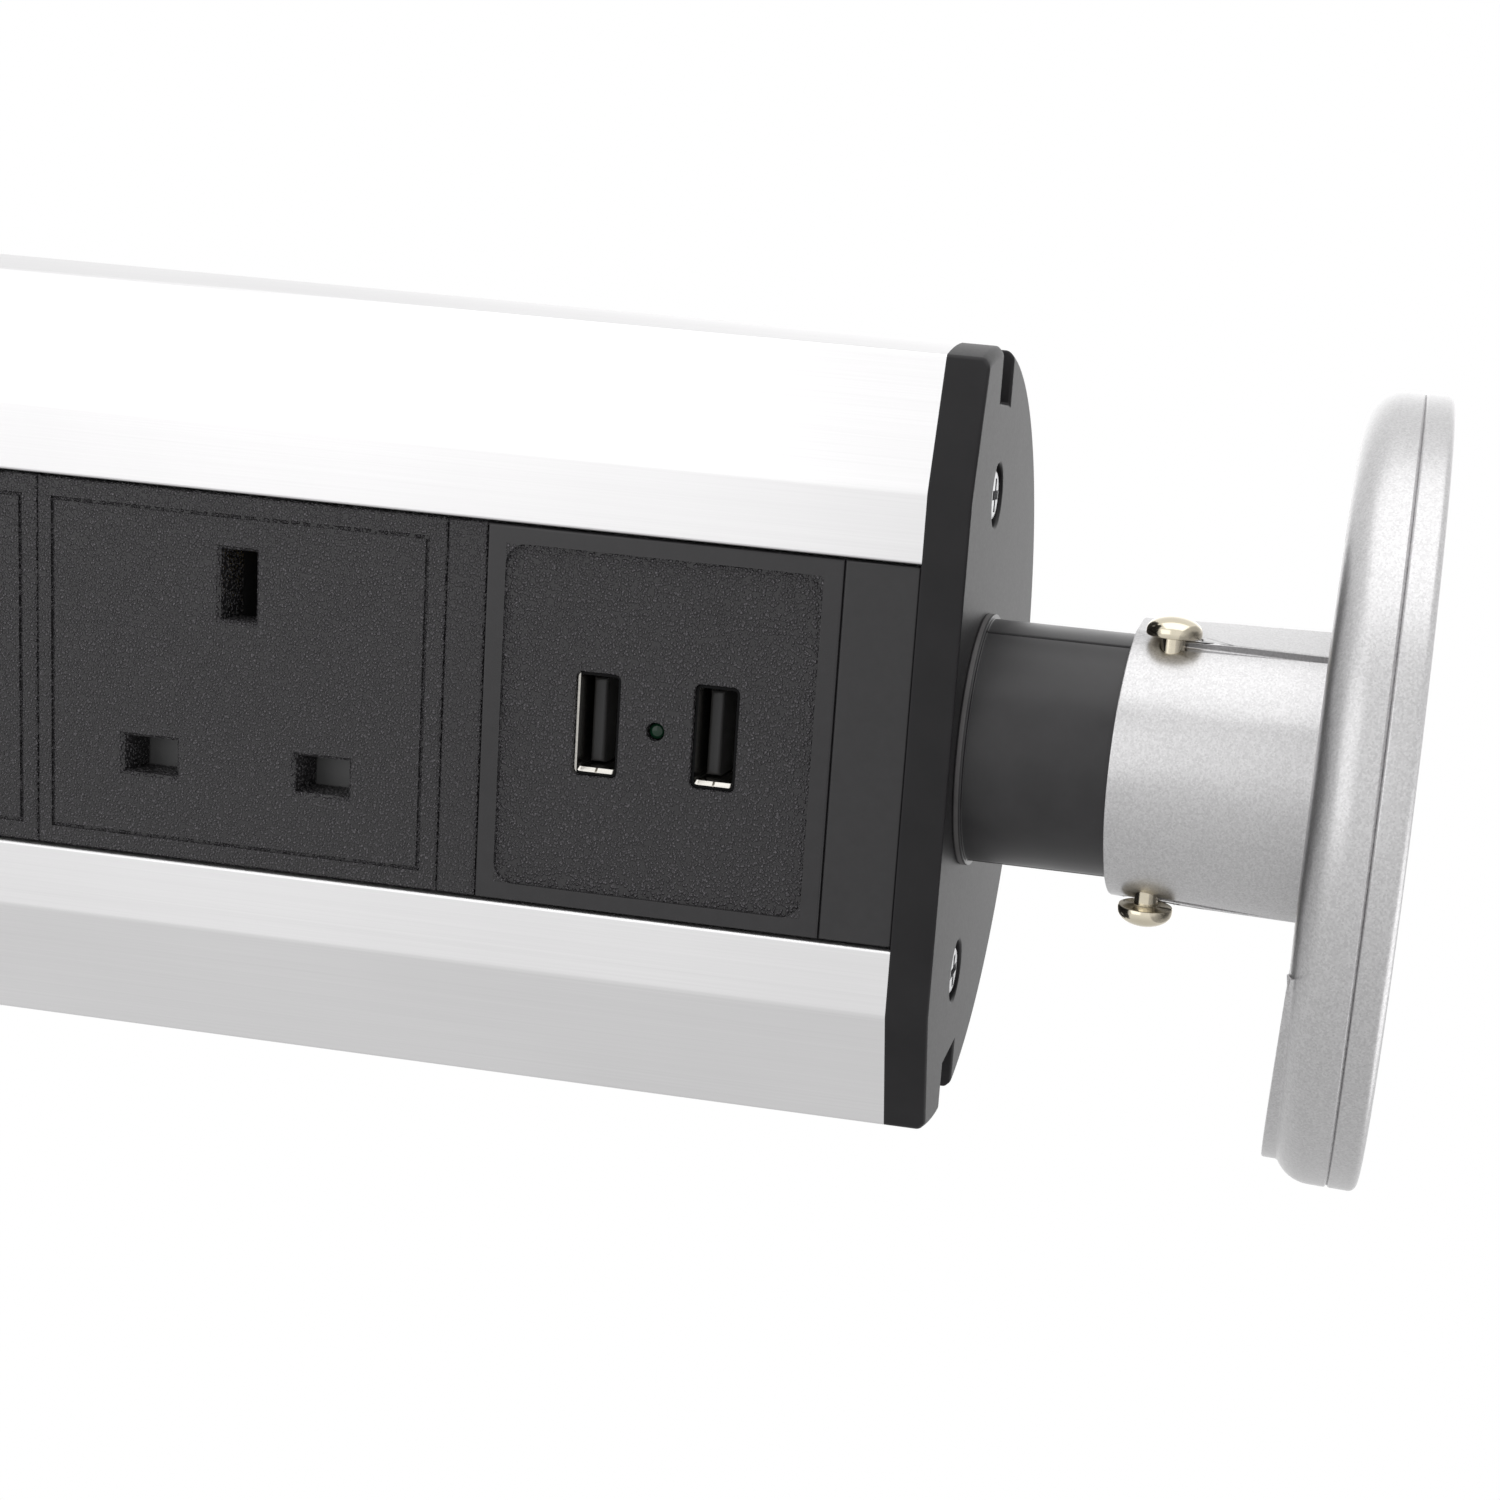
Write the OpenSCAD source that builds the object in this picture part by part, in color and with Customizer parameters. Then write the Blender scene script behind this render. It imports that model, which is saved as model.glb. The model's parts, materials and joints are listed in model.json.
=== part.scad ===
// Pop-up desk socket: a D-section aluminium tower with mains sockets and a USB charger, which slides
// up through a sleeve clamped in a worktop. Its lid tilts on two pins at the top of a short neck.
// The origin is the centre of the worktop hole, level with the worktop. The sockets face -Y.

/* [Tower] */
// Outside diameter of the tower
tower_d = 98.5; // [95:0.5:100]
// Distance from the tower's axis to its flat front
front_flat = 19.6; // [18:0.1:22]
// Distance between the creases beside the flat front
crease_w = 62.6; // [58:0.1:66]
// Angle at which the shoulders fall back from the creases
shoulder_angle = 18; // [14:0.5:26]
// Length of the aluminium profile
profile_len = 298; // [290:1:330]
// Wall of the profile
profile_wall = 2.2; // [1.6:0.1:2.6]
// Width of a side groove
groove_w = 9; // [7:0.5:10]
// Depth of a side groove
groove_depth = 7; // [5:0.5:8]
// Distance of each end screw from the tower's axis
port_x = 31; // [30:0.5:32]
// Outside diameter of a screw port in the profile
port_d = 8.4; // [7:0.1:8.8]

/* [End caps] */
// Thickness of the top cap
cap_t = 5.2; // [4.4:0.1:7]
// Chamfer round the top cap
cap_chamfer = 0.8; // [0.3:0.1:1.5]
// Diameter of the counterbore for a cap screw
counterbore_d = 8; // [7.8:0.1:9]
// Material left under the head of a cap screw
screw_floor = 1.4; // [1:0.1:2.5]
// Diameter of a cap screw's thread
screw_d = 3.4; // [3:0.1:4]
// Diameter of a cap screw's head
screw_head_d = 7; // [6:0.1:7.4]
// Height of a cap screw's head
screw_head_h = 2.1; // [1.6:0.1:2.6]
// Length of a cap screw's thread
screw_len = 16; // [10:1:24]
// Thickness of the bottom cap
bottom_cap_t = 6; // [5:0.5:9]
// Diameter of the bottom cap, which stops the tower at the sleeve
bottom_cap_d = 102; // [101.5:0.5:104]

/* [Front modules] */
// Width of the front channel
channel_w = 46.2; // [45.6:0.1:47]
// Gap between a module and each side of the channel
module_clear = 0.3; // [0.1:0.05:0.5]
// Depth of the modules' faces behind the flat front
module_recess = 0.4; // [0.2:0.1:1.2]
// Thickness of a module's front plate
plate_t = 5; // [4.6:0.1:6]
// Width of the ledge that a front plate rests on
ledge_w = 1.6; // [1.2:0.1:2]
// Thickness of that ledge
ledge_t = 2; // [1.5:0.1:3]
// Length of the blank above the charger
upper_blank_len = 9; // [6:0.5:14]
// Length of the charger's front plate
usb_len = 42.9; // [40:0.1:46]
// Length of the spacer under the charger
spacer_len = 4.9; // [3:0.1:8]
// Distance between neighbouring sockets
socket_pitch = 51.6; // [50:0.1:54]
// Distance from the end sockets' centres to the ends of the strip
strip_margin = 26.1; // [25:0.1:28]

/* [Sockets] */
// Distance between the two line pins, and of the earth pin from them
pin_pitch = 22.2; // [22:0.1:22.4]
// Distance of the earth slot from the middle of the strip
earth_offset = 12; // [11.6:0.1:12.4]
// Length of the earth slot
earth_slot_l = 8.6; // [8.2:0.1:9]
// Width of the earth slot
earth_slot_w = 4.6; // [4.3:0.1:5]
// Length of a line slot
line_slot_l = 6.9; // [6.6:0.1:7.2]
// Width of a line slot
line_slot_w = 4.6; // [4.3:0.1:4.8]
// Chamfer round each slot
slot_chamfer = 0.4; // [0.2:0.05:0.6]
// Length of the thin square line round a socket
inset_l = 47.9; // [46:0.1:49]
// Width of the thin square line round a socket
inset_w = 41; // [39:0.1:43]
// Width of that line
inset_line = 0.5; // [0.3:0.05:0.8]
// Depth of the moulding behind the strip
base_depth = 22; // [21:0.5:26]
// Half the width of the moulding behind the strip
base_half = 21; // [20.8:0.1:21.2]
// Thickness of the cover behind the moulding
cover_t = 2; // [1.5:0.1:3]
// Travel of a shutter
shutter_travel = 5.6; // [5.4:0.1:5.8]
// Thickness of a shutter
shutter_t = 2.2; // [1.8:0.1:2.4]
// Gap round a shutter
shutter_clear = 0.3; // [0.2:0.05:0.4]
// Cover of a shutter past the edge of a line slot
shutter_lap = 0.6; // [0.4:0.1:0.7]
// Thickness of the contact brass
contact_t = 0.8; // [0.6:0.1:1]
// Thickness of a supply bar
bar_t = 1.2; // [0.8:0.1:1.6]
// Width of a supply bar
bar_w = 4; // [3.4:0.1:4.2]

/* [Charger] */
// Length of the textured inset panel
usb_inset_l = 38.2; // [36:0.1:39]
// Width of the textured inset panel
usb_inset_w = 41.3; // [39:0.1:42]
// Corner radius of the inset panel
usb_inset_r = 2.5; // [1.5:0.1:4]
// Depth of the inset panel
usb_inset_depth = 0.3; // [0.2:0.05:0.5]
// Distance between the two ports
usb_pitch = 14.5; // [13:0.1:16]
// Width of a port's cut-out
usb_cut_w = 5.5; // [5.3:0.05:6]
// Length of a port's cut-out
usb_cut_l = 12.6; // [12.4:0.05:13.2]
// Corner radius of a port's cut-out
usb_cut_r = 0.8; // [0.7:0.1:1]
// Gap between a port's shell and its cut-out
usb_clear = 0.1; // [0.05:0.01:0.15]
// Wall of a port's shell
usb_shell_t = 0.4; // [0.3:0.05:0.5]
// Depth of a port's shell behind the inset panel
usb_set_back = 0.5; // [0.2:0.1:1]
// Depth of a port's shell
usb_depth = 12; // [11:0.5:14]
// Thickness of a port's tongue
tongue_t = 1.8; // [1.6:0.1:2]
// Diameter of the indicator lens
led_d = 2; // [1.6:0.1:3]
// Thickness of the circuit board
board_t = 1.6; // [1.2:0.1:2]
// Depth of the charger's housing behind the plate
usb_box_depth = 24; // [22:0.5:28]
// Wall of the charger's housing
usb_box_wall = 1.5; // [1.2:0.1:1.8]

/* [Neck and lid] */
// Diameter of the neck
neck_d = 31; // [30:0.5:31.5]
// Length of neck that shows between the cap and the collar
neck_show = 19; // [17:0.5:21]
// Step of the ring at the foot of the neck
neck_ring = 0.6; // [0.3:0.1:1.2]
// Height of that ring
neck_ring_h = 1; // [0.6:0.1:2]
// Distance of the neck's two seams in front of its axis
seam_offset = 5.4; // [3:0.1:7]
// Width and depth of a seam
seam_w = 0.5; // [0.3:0.05:0.8]
// Height of the neck above the hinge pins
neck_rise = 4; // [3:0.1:5]
// Outside diameter of the collar at its lower end
collar_d = 35.4; // [35.2:0.1:38]
// Height of the collar
collar_h = 24.3; // [23.5:0.1:25.5]
// Draft of the collar's outside
collar_draft = 2; // [0.5:0.1:3]
// Distance of the collar's side flats from its axis
collar_flat = 17.5; // [17.3:0.1:18]
// Angle by which the side flats turn towards the front
flat_turn = 10; // [0:1:20]
// Width of the slots in the collar above the pins
slot_w = 1.7; // [1:0.1:2.5]
// Depth of those slots at the collar's lower end
slot_depth = 0.6; // [0.3:0.1:0.7]
// Gap between the collar and the neck, besides the room to tilt
collar_clear = 0.3; // [0.2:0.05:0.4]
// Angle through which the lid tilts each way from level
tilt_max = 5; // [3:0.5:6]
// Distance of the hinge pins from the collar's lower end
pin_inset = 5; // [4.5:0.1:6.5]
// Distance of the hinge pins in front of the neck's axis
pin_offset = 8.4; // [7.5:0.1:9]
// Diameter of a hinge pin
pin_d = 3; // [2.6:0.1:3.6]
// Running gap round a hinge pin
pin_clear = 0.05; // [0.03:0.01:0.08]
// Length of a hinge pin inside the neck
pin_reach = 8; // [5:0.5:10]
// Length of pin that shows under its head
pin_show = 0.9; // [0.7:0.1:1.6]
// Diameter of a hinge pin's head
pin_head_d = 6.8; // [6:0.1:8]
// Height of a hinge pin's head
pin_head_h = 2.6; // [1.8:0.1:3]
// Height of the straight edge of that head
pin_edge = 0.5; // [0.3:0.1:1]
// Gap round and under a hinge pin's head in its seat
seat_clear = 0.3; // [0.2:0.05:0.5]
// Diameter of the lid
lid_d = 96.5; // [95:0.5:99]
// Thickness of the lid below its seam
lid_base_t = 6.6; // [6:0.1:8]
// Thickness of the lid's top plate
lid_plate_t = 3.4; // [2.8:0.1:5]
// Rounding under the lid's edge
lid_round = 4.4; // [3.5:0.1:5]
// Chamfer round the top of the lid
lid_edge = 1; // [0.4:0.1:1.5]
// Depth of the fine seam round the lid's edge
lid_seam = 0.3; // [0.2:0.05:0.5]
// Diameter of the circle that ends the grip lip under one side of the lid
lip_d = 92; // [88:0.5:94]
// Distance from the lid's axis at which the grip lip starts
lip_start = 12; // [8:0.5:24]
// Drop of the grip lip at its outer end
lip_t = 1.5; // [0.8:0.1:2]
// Height of the grip lip's edge above the lid's underside
lip_rise = 1.7; // [1.6:0.1:2.4]
// Diameter of the register that locates the top plate
register_d = 80; // [60:1:90]
// Depth of that register
register_t = 1.6; // [1:0.1:2.5]
// Gap round the register
register_clear = 0.1; // [0.05:0.01:0.2]

/* [Worktop fitting] */
// Outside diameter of the ring on the worktop
ring_d = 130; // [126:1:144]
// Thickness of the ring on the worktop
ring_t = 5; // [4:0.5:7]
// Height of the ring's outer edge
ring_edge = 2; // [1:0.5:3]
// Height of the cone on the sleeve that centres the ring
seat_h = 1.5; // [0.8:0.1:1.8]
// Length of the sleeve under the worktop
sleeve_len = 75; // [70:1:90]
// Wall between the dish for the lid and the outside of the sleeve
dish_wall = 2.2; // [2:0.1:3]
// Gap between the tower and the sleeve
tower_clear = 0.5; // [0.4:0.05:0.8]
// Gap between the tilted lid and its dish when it is down
dish_clear = 0.65; // [0.5:0.05:0.8]
// Gap at the ends of the tower's travel
stop_gap = 0.3; // [0.2:0.05:0.6]
// Gap between a guide key and its groove
key_clear = 0.4; // [0.3:0.05:0.6]
// Length of the plain part of the sleeve in the worktop
shank_len = 16; // [14:0.5:20]
// Pitch of the sleeve's thread
thread_pitch = 3; // [2:0.5:4]
// Depth of the sleeve's thread
thread_depth = 1.2; // [0.8:0.1:1.6]
// Height of the guide band at each end of the sleeve's bore
band_h = 12; // [10:0.5:18]
// Depth of the relief between the guide bands
relief_depth = 1.8; // [1.5:0.1:2]
// Width of a brake pad
pad_w = 16; // [10:0.5:22]
// Height of a brake pad
brake_h = 24; // [16:1:30]
// Thickness of the worktop at rest
worktop_t = 38; // [28:1:42]
// Gap between the clamp and the sleeve
nut_clear = 0.3; // [0.2:0.05:0.5]
// Outside diameter of the clamp washer
washer_d = 132; // [126:1:144]
// Thickness of the clamp washer
washer_t = 2; // [1.5:0.1:4]
// Outside diameter of the clamp nut
nut_d = 130; // [126:1:140]
// Height of the clamp nut
nut_h = 12; // [10:0.5:16]

/* [Supply] */
// Bore of the cable gland
gland_bore_d = 8.4; // [6:0.1:10]
// Diameter of the gland's shank
gland_d = 16; // [14:0.5:20]
// Gap round the gland's shank
gland_clear = 0.1; // [0.05:0.05:0.3]
// Width across the gland's flats
gland_flats = 22; // [20:0.5:27]
// Length of the gland below the cap
gland_len = 14; // [10:0.5:20]
// Height of the gland's lock nut
gland_nut_h = 5; // [4:0.5:7]
// Diameter of an inner lead
lead_d = 3; // [2.4:0.1:3.4]
// Length of the inner leads between the terminals and the bars
lead_len = 16; // [12:1:24]
// Height of the terminal block
terminal_h = 20; // [16:1:26]

/* [Hidden] */
$fn = 96;
eps = 0.01;
// Overrun of a cut past the face it starts from
cut = 1;
tower_r = tower_d / 2;
lid_r = lid_d / 2;
neck_r = neck_d / 2;
collar_r = collar_d / 2;
// Heights of the tower, which stands raised
profile_z = -sleeve_len - stop_gap;
profile_top = profile_z + profile_len;
cap_z = profile_top + cap_t;
collar_z = cap_z + neck_show;
pin_z = collar_z + pin_inset;
lid_z = collar_z + collar_h;
seam_z = lid_z + lid_base_t;
lid_top = seam_z + lid_plate_t;
// Hinge: the collar's hollow leaves the neck room to tilt, and each pin has a flat seat on the collar
hinge_y = -pin_offset;
neck_top = pin_z + neck_rise;
cavity_r = neck_r + collar_clear + max(pin_inset, neck_rise) * sin(tilt_max);
cavity_top = neck_top + collar_clear + (neck_r + pin_offset) * sin(tilt_max);
pin_collar_r = collar_r + pin_inset * tan(collar_draft);
pin_head_x = sqrt(pow(pin_collar_r, 2) - pow(pin_offset, 2)) + pin_show;
pin_end_x = sqrt(pow(neck_r, 2) - pow(pin_offset, 2)) - pin_reach;
// Worktop fitting: lowered, the lid lies flush in a dish with room to tilt, on rests beside its hinge
bore_r = tower_r + tower_clear;
travel = lid_top - ring_t;
dish_r = lid_r + (lid_top - pin_z) * sin(tilt_max) + dish_clear;
round_reach = lid_r - lid_round + pin_offset;
tilted_z = (lid_z + lid_round - pin_z) * cos(tilt_max) - round_reach * sin(tilt_max) - lid_round;
dish_z = pin_z - travel + tilted_z - dish_clear;
rest_drop = (groove_w / 2 + pin_offset) * sin(tilt_max) + (lid_z - pin_z) * (1 - cos(tilt_max));
rest_z = lid_z - travel - rest_drop - stop_gap;
sleeve_d = ceil(2 * (dish_r + dish_wall));
sleeve_r = sleeve_d / 2;
seat_r = sleeve_r - seat_h;
thread_r = sleeve_r - thread_depth;
relief_r = bore_r + relief_depth;
washer_z = -worktop_t - washer_t;
nut_z = washer_z - stop_gap - nut_h;
// Planes of the front modules, from the face backwards
face_y = module_recess - front_flat;
back_y = face_y + plate_t;
ledge_y = back_y + ledge_t;
plate_w = channel_w - 2 * module_clear;
lip_half = channel_w / 2 - ledge_w;
// Heights of the front modules, from the top cap downwards
usb_top = profile_top - upper_blank_len;
usb_z = usb_top - usb_len;
usb_mid = usb_z + usb_len / 2;
strip_top = usb_z - spacer_len;
socket_count = 3;
strip_len = 2 * strip_margin + (socket_count - 1) * socket_pitch;
strip_z = strip_top - strip_len;
function socket_z(i) = strip_top - strip_margin - (i - 1) * socket_pitch;
// Sockets: the earth slots lie towards -X and the line slots towards +X
earth_x = -earth_offset;
line_x = pin_pitch - earth_offset;
line_z = pin_pitch / 2;
blade_half = line_slot_w / 2 + shutter_lap;
blade_z = line_z + line_slot_l / 2 + shutter_lap;
chamber_t = shutter_t + 2 * shutter_clear;
tail_half = earth_slot_w / 2 - shutter_clear;
earth_edge = earth_x + earth_slot_l / 2;
leg_gap = 1;
leg_x = earth_edge + leg_gap;
leg_w = 3;
leg_len = 6;
ramp_y = back_y + leg_len;
ramp_rise = 6;
arm_x = leg_x + leg_w;
arm_w = 1.5;
arm_z = 8;
spring_t = 0.4;
post_w = 1.2;
post_x = line_x - blade_half - 2 * shutter_clear - post_w;
base_back = back_y + base_depth;
base_end = 1;
snap_w = 1.2;
snap_t = 2;
snap_clear = 0.2;
bar_clear = 0.3;
bar_y = base_back - bar_clear - bar_t;
foot_len = 4;
web_y = bar_y - foot_len;
line_pin_t = 4;
line_pin_w = 6.4;
earth_pin_t = 4;
earth_pin_w = 8;
contact_gap = 0.2;
pocket_clear = 0.5;
bar_tail = 6;
bar_spread = 1;
bar_side = bar_w / 2 + bar_spread;
live_x = line_x + bar_side;
neutral_x = line_x - bar_side;
// Supply
lead_top = strip_z + base_end - bar_tail;
lead_y = bar_y + bar_t / 2;
lead_in = 8;
terminal_top = lead_top - lead_len + lead_in;
terminal_z = terminal_top - terminal_h;
terminal_edge = 4;
terminal_screw_d = 4;
terminal_sink = 0.5;
// Charger
board_y = face_y + usb_depth;
rail_w = 2;
board_clear = 0.3;
board_half = base_half - usb_box_wall - board_clear;
board_len = usb_len - 2 * base_end - 2 * usb_box_wall - 2 * board_clear;
tongue_side = 0.6;
tongue_l = usb_cut_l - 2 * (usb_clear + usb_shell_t + tongue_side);
tongue_depth = 8;
tongue_gap = 0.4;
tongue_root = 2;
core_w = 14;
core_h = 12;
core_l = 16;
cell_d = 8;
cell_h = 11;

// A box given by its low and high corners
module box(low, high) {
    translate(low) cube(high - low);
}

// A prism along Y with round corners, from y0 to y1
module rounded_prism(half_x, half_z, r, y0, y1) {
    box([-half_x, y0, r - half_z], [half_x, y1, half_z - r]);
    box([r - half_x, y0, -half_z], [half_x - r, y1, half_z]);
    for (x = [-1, 1], z = [-1, 1])
        translate([x * (half_x - r), y0, z * (half_z - r)])
            rotate([-90, 0, 0]) cylinder(r = r, h = y1 - y0, $fn = 32);
}

// A prism behind a flat front and two sloping shoulders; grow moves these faces outwards
module front_faces(grow, h) {
    front = front_flat + grow;
    crease = crease_w / 2 + grow * tan(shoulder_angle / 2);
    reach = 2 * tower_r;
    shoulder_y = (reach - crease) * tan(shoulder_angle) - front;
    linear_extrude(h)
        polygon([[-crease, -front], [crease, -front], [reach, shoulder_y], [reach, reach],
                 [-reach, reach], [-reach, shoulder_y]]);
}

// A prism with the tower's outline, round behind the shoulders
module d_prism(grow, h) {
    intersection() {
        cylinder(r = tower_r + grow, h = h);
        front_faces(grow, h);
    }
}

// The side grooves of the tower, as solids to cut away
module side_grooves(h) {
    for (s = [-1, 1])
        translate([s * tower_r, 0, h / 2])
            cube([2 * groove_depth, groove_w, h + 2 * cut], center = true);
}

// A four-sided taper with its wide end at the front, from y to y + depth
module slot_taper(x, z, wide_x, wide_z, inset, y, depth) {
    intersection() {
        translate([x, 0, z - wide_z])
            linear_extrude(2 * wide_z)
                polygon([[-wide_x / 2, y], [wide_x / 2, y],
                         [wide_x / 2 - inset, y + depth], [inset - wide_x / 2, y + depth]]);
        translate([x - wide_x, 0, z])
            rotate([90, 0, 90])
                linear_extrude(2 * wide_x)
                    polygon([[y, -wide_z / 2], [y, wide_z / 2],
                             [y + depth, wide_z / 2 - inset], [y + depth, inset - wide_z / 2]]);
    }
}

// A slot through a front plate, with its chamfer
module plate_slot(x, z, size_x, size_z) {
    box([x - size_x / 2, face_y - cut, z - size_z / 2], [x + size_x / 2, back_y + cut, z + size_z / 2]);
    slot_taper(x, z, size_x + 4 * slot_chamfer, size_z + 4 * slot_chamfer, 2 * slot_chamfer,
               face_y - slot_chamfer, 2 * slot_chamfer);
}

// A module's front plate between two heights
module front_plate(low, high) {
    box([-plate_w / 2, face_y, low], [plate_w / 2, back_y, high]);
}

// Ribs that snap behind the channel's ledges
module snap_ribs(low, high) {
    for (s = [-1, 1])
        box([min(s * base_half, s * (base_half + snap_w)), ledge_y + snap_clear, low],
            [max(s * base_half, s * (base_half + snap_w)), ledge_y + snap_clear + snap_t, high]);
}

// A pan-head screw with its head's underside at the origin and its thread along +Z
module pan_screw(thread_d, head_d, head_h, len) {
    cross_w = head_d / 6;
    cross_l = head_d * 3 / 5;
    difference() {
        union() {
            cylinder(d = thread_d, h = len);
            translate([0, 0, -head_h]) cylinder(d = head_d, h = head_h);
        }
        for (a = [0, 90])
            rotate(a)
                translate([0, 0, -head_h])
                    cube([cross_l, cross_w, head_h], center = true);
    }
}

// Worktop fitting

module desk_ring() {
    color("gainsboro")
        rotate_extrude()
            polygon([[dish_r, seat_h], [seat_r, seat_h], [sleeve_r, 0], [ring_d / 2, 0],
                     [ring_d / 2, ring_edge], [ring_d / 2 - ring_t, ring_t], [dish_r, ring_t]]);
}

module sleeve() {
    thread_turns = floor((sleeve_len - shank_len) / thread_pitch);
    thread_end = -shank_len - thread_turns * thread_pitch;
    color("dimgray")
        union() {
            rotate_extrude()
                polygon(concat(
                    [[dish_r, seat_h], [seat_r, seat_h], [sleeve_r, 0], [sleeve_r, -shank_len]],
                    [for (i = [0:thread_turns - 1])
                        each [[thread_r, -shank_len - (i + 0.25) * thread_pitch],
                              [thread_r, -shank_len - (i + 0.5) * thread_pitch],
                              [sleeve_r, -shank_len - (i + 0.75) * thread_pitch]]],
                    [[thread_r, thread_end], [thread_r, -sleeve_len], [bore_r, -sleeve_len],
                     [bore_r, band_h - sleeve_len], [relief_r, band_h + relief_depth - sleeve_len],
                     [relief_r, dish_z - band_h - relief_depth], [bore_r, dish_z - band_h],
                     [bore_r, dish_z], [dish_r, dish_z]]));
            for (s = [-1, 1]) guide_key(s);
        }
}

// A key on the sleeve's bore that runs in a side groove of the tower; the lid comes to rest on its top
module guide_key(s) {
    key_w = groove_w - 2 * key_clear;
    inner = tower_r - groove_depth + key_clear;
    outer = relief_r + cut;
    key_top = s < 0 ? rest_z : rest_z - lip_t;
    translate([s * (inner + outer) / 2, 0, (key_top - sleeve_len) / 2])
        cube([outer - inner, key_w, key_top + sleeve_len], center = true);
}

// A plate across the front of the sleeve's bore that guides the tower's flat front
module front_guide(i) {
    color("dimgray")
        translate([0, 0, i == 1 ? dish_z - band_h : -sleeve_len])
            difference() {
                cylinder(r = bore_r, h = band_h);
                translate([0, 0, -cut]) front_faces(tower_clear, band_h + 2 * cut);
            }
}

module brake_pad(i) {
    pad_z = (dish_z - sleeve_len) / 2;
    color("saddlebrown")
        rotate(i == 1 ? 60 : 120)
            intersection() {
                translate([0, 0, pad_z - brake_h / 2])
                    difference() {
                        cylinder(r = relief_r, h = brake_h);
                        translate([0, 0, -cut])
                            cylinder(r = tower_r + stop_gap, h = brake_h + 2 * cut);
                    }
                translate([tower_r, 0, pad_z])
                    cube([tower_r, pad_w, brake_h + 2 * cut], center = true);
            }
}

module clamp_washer() {
    color("silver")
        translate([0, 0, washer_z])
            difference() {
                cylinder(d = washer_d, h = washer_t);
                translate([0, 0, -cut]) cylinder(r = sleeve_r + nut_clear, h = washer_t + 2 * cut);
            }
}

module clamp_nut() {
    grips = 12;
    grip_r = (nut_d - sleeve_d) / 4;
    grip_x = nut_d / 2 + grip_r / 2;
    color("dimgray")
        translate([0, 0, nut_z])
            difference() {
                cylinder(d = nut_d, h = nut_h);
                translate([0, 0, -cut]) cylinder(r = sleeve_r + nut_clear, h = nut_h + 2 * cut);
                for (i = [0:grips - 1])
                    rotate((i + 0.5) * 360 / grips)
                        translate([grip_x, 0, -cut])
                            cylinder(r = grip_r, h = nut_h + 2 * cut, $fn = 32);
            }
}

// Tower

module profile() {
    channel = channel_w / 2;
    groove_x = tower_r - groove_depth;
    color("silver")
        translate([0, 0, profile_z])
            difference() {
                union() {
                    difference() {
                        d_prism(0, profile_len);
                        translate([0, 0, -cut]) d_prism(-profile_wall, profile_len + 2 * cut);
                    }
                    intersection() {
                        d_prism(0, profile_len);
                        for (s = [0, 1])
                            mirror([s, 0, 0]) {
                                box([channel, -front_flat, 0],
                                    [channel + profile_wall, ledge_y, profile_len]);
                                box([lip_half, back_y, 0],
                                    [channel + profile_wall, ledge_y, profile_len]);
                                box([groove_x - profile_wall, -groove_w / 2 - profile_wall, 0],
                                    [tower_r, groove_w / 2 + profile_wall, profile_len]);
                                box([port_x, -profile_wall / 2, 0],
                                    [groove_x, profile_wall / 2, profile_len]);
                                translate([port_x, 0, 0]) cylinder(d = port_d, h = profile_len);
                            }
                    }
                }
                box([-channel, -front_flat - cut, -cut], [channel, back_y, profile_len + cut]);
                side_grooves(profile_len);
                for (s = [-1, 1])
                    translate([s * port_x, 0, -cut]) cylinder(d = screw_d, h = profile_len + 2 * cut);
            }
}

module top_cap() {
    color([0.16, 0.16, 0.17])
        translate([0, 0, profile_top])
            difference() {
                intersection() {
                    d_prism(0, cap_t);
                    cylinder(r1 = tower_r + cap_t - cap_chamfer, r2 = tower_r - cap_chamfer, h = cap_t);
                }
                side_grooves(cap_t);
                for (s = [-1, 1]) {
                    translate([s * port_x, 0, -cut]) cylinder(d = screw_d, h = cap_t + 2 * cut);
                    translate([s * port_x, 0, screw_floor]) cylinder(d = counterbore_d, h = cap_t);
                    translate([0, s * neck_r / 2, -cut]) cylinder(d = screw_d, h = cap_t + 2 * cut);
                }
            }
}

module top_screw(i) {
    color("gray")
        translate([(2 * i - 3) * port_x, 0, profile_top + screw_floor])
            mirror([0, 0, 1]) pan_screw(screw_d, screw_head_d, screw_head_h, screw_len);
}

module bottom_cap() {
    color([0.16, 0.16, 0.17])
        translate([0, 0, profile_z - bottom_cap_t])
            difference() {
                cylinder(d = bottom_cap_d, h = bottom_cap_t);
                translate([0, 0, -cut])
                    cylinder(d = gland_d + 2 * gland_clear, h = bottom_cap_t + 2 * cut);
                for (s = [-1, 1])
                    translate([s * port_x, 0, 0]) {
                        translate([0, 0, -cut]) cylinder(d = screw_d, h = bottom_cap_t + 2 * cut);
                        translate([0, 0, -screw_floor]) cylinder(d = counterbore_d, h = bottom_cap_t);
                    }
            }
}

module bottom_screw(i) {
    color("gray")
        translate([(2 * i - 3) * port_x, 0, profile_z - screw_floor])
            pan_screw(screw_d, screw_head_d, screw_head_h, screw_len);
}

// Sockets

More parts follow.
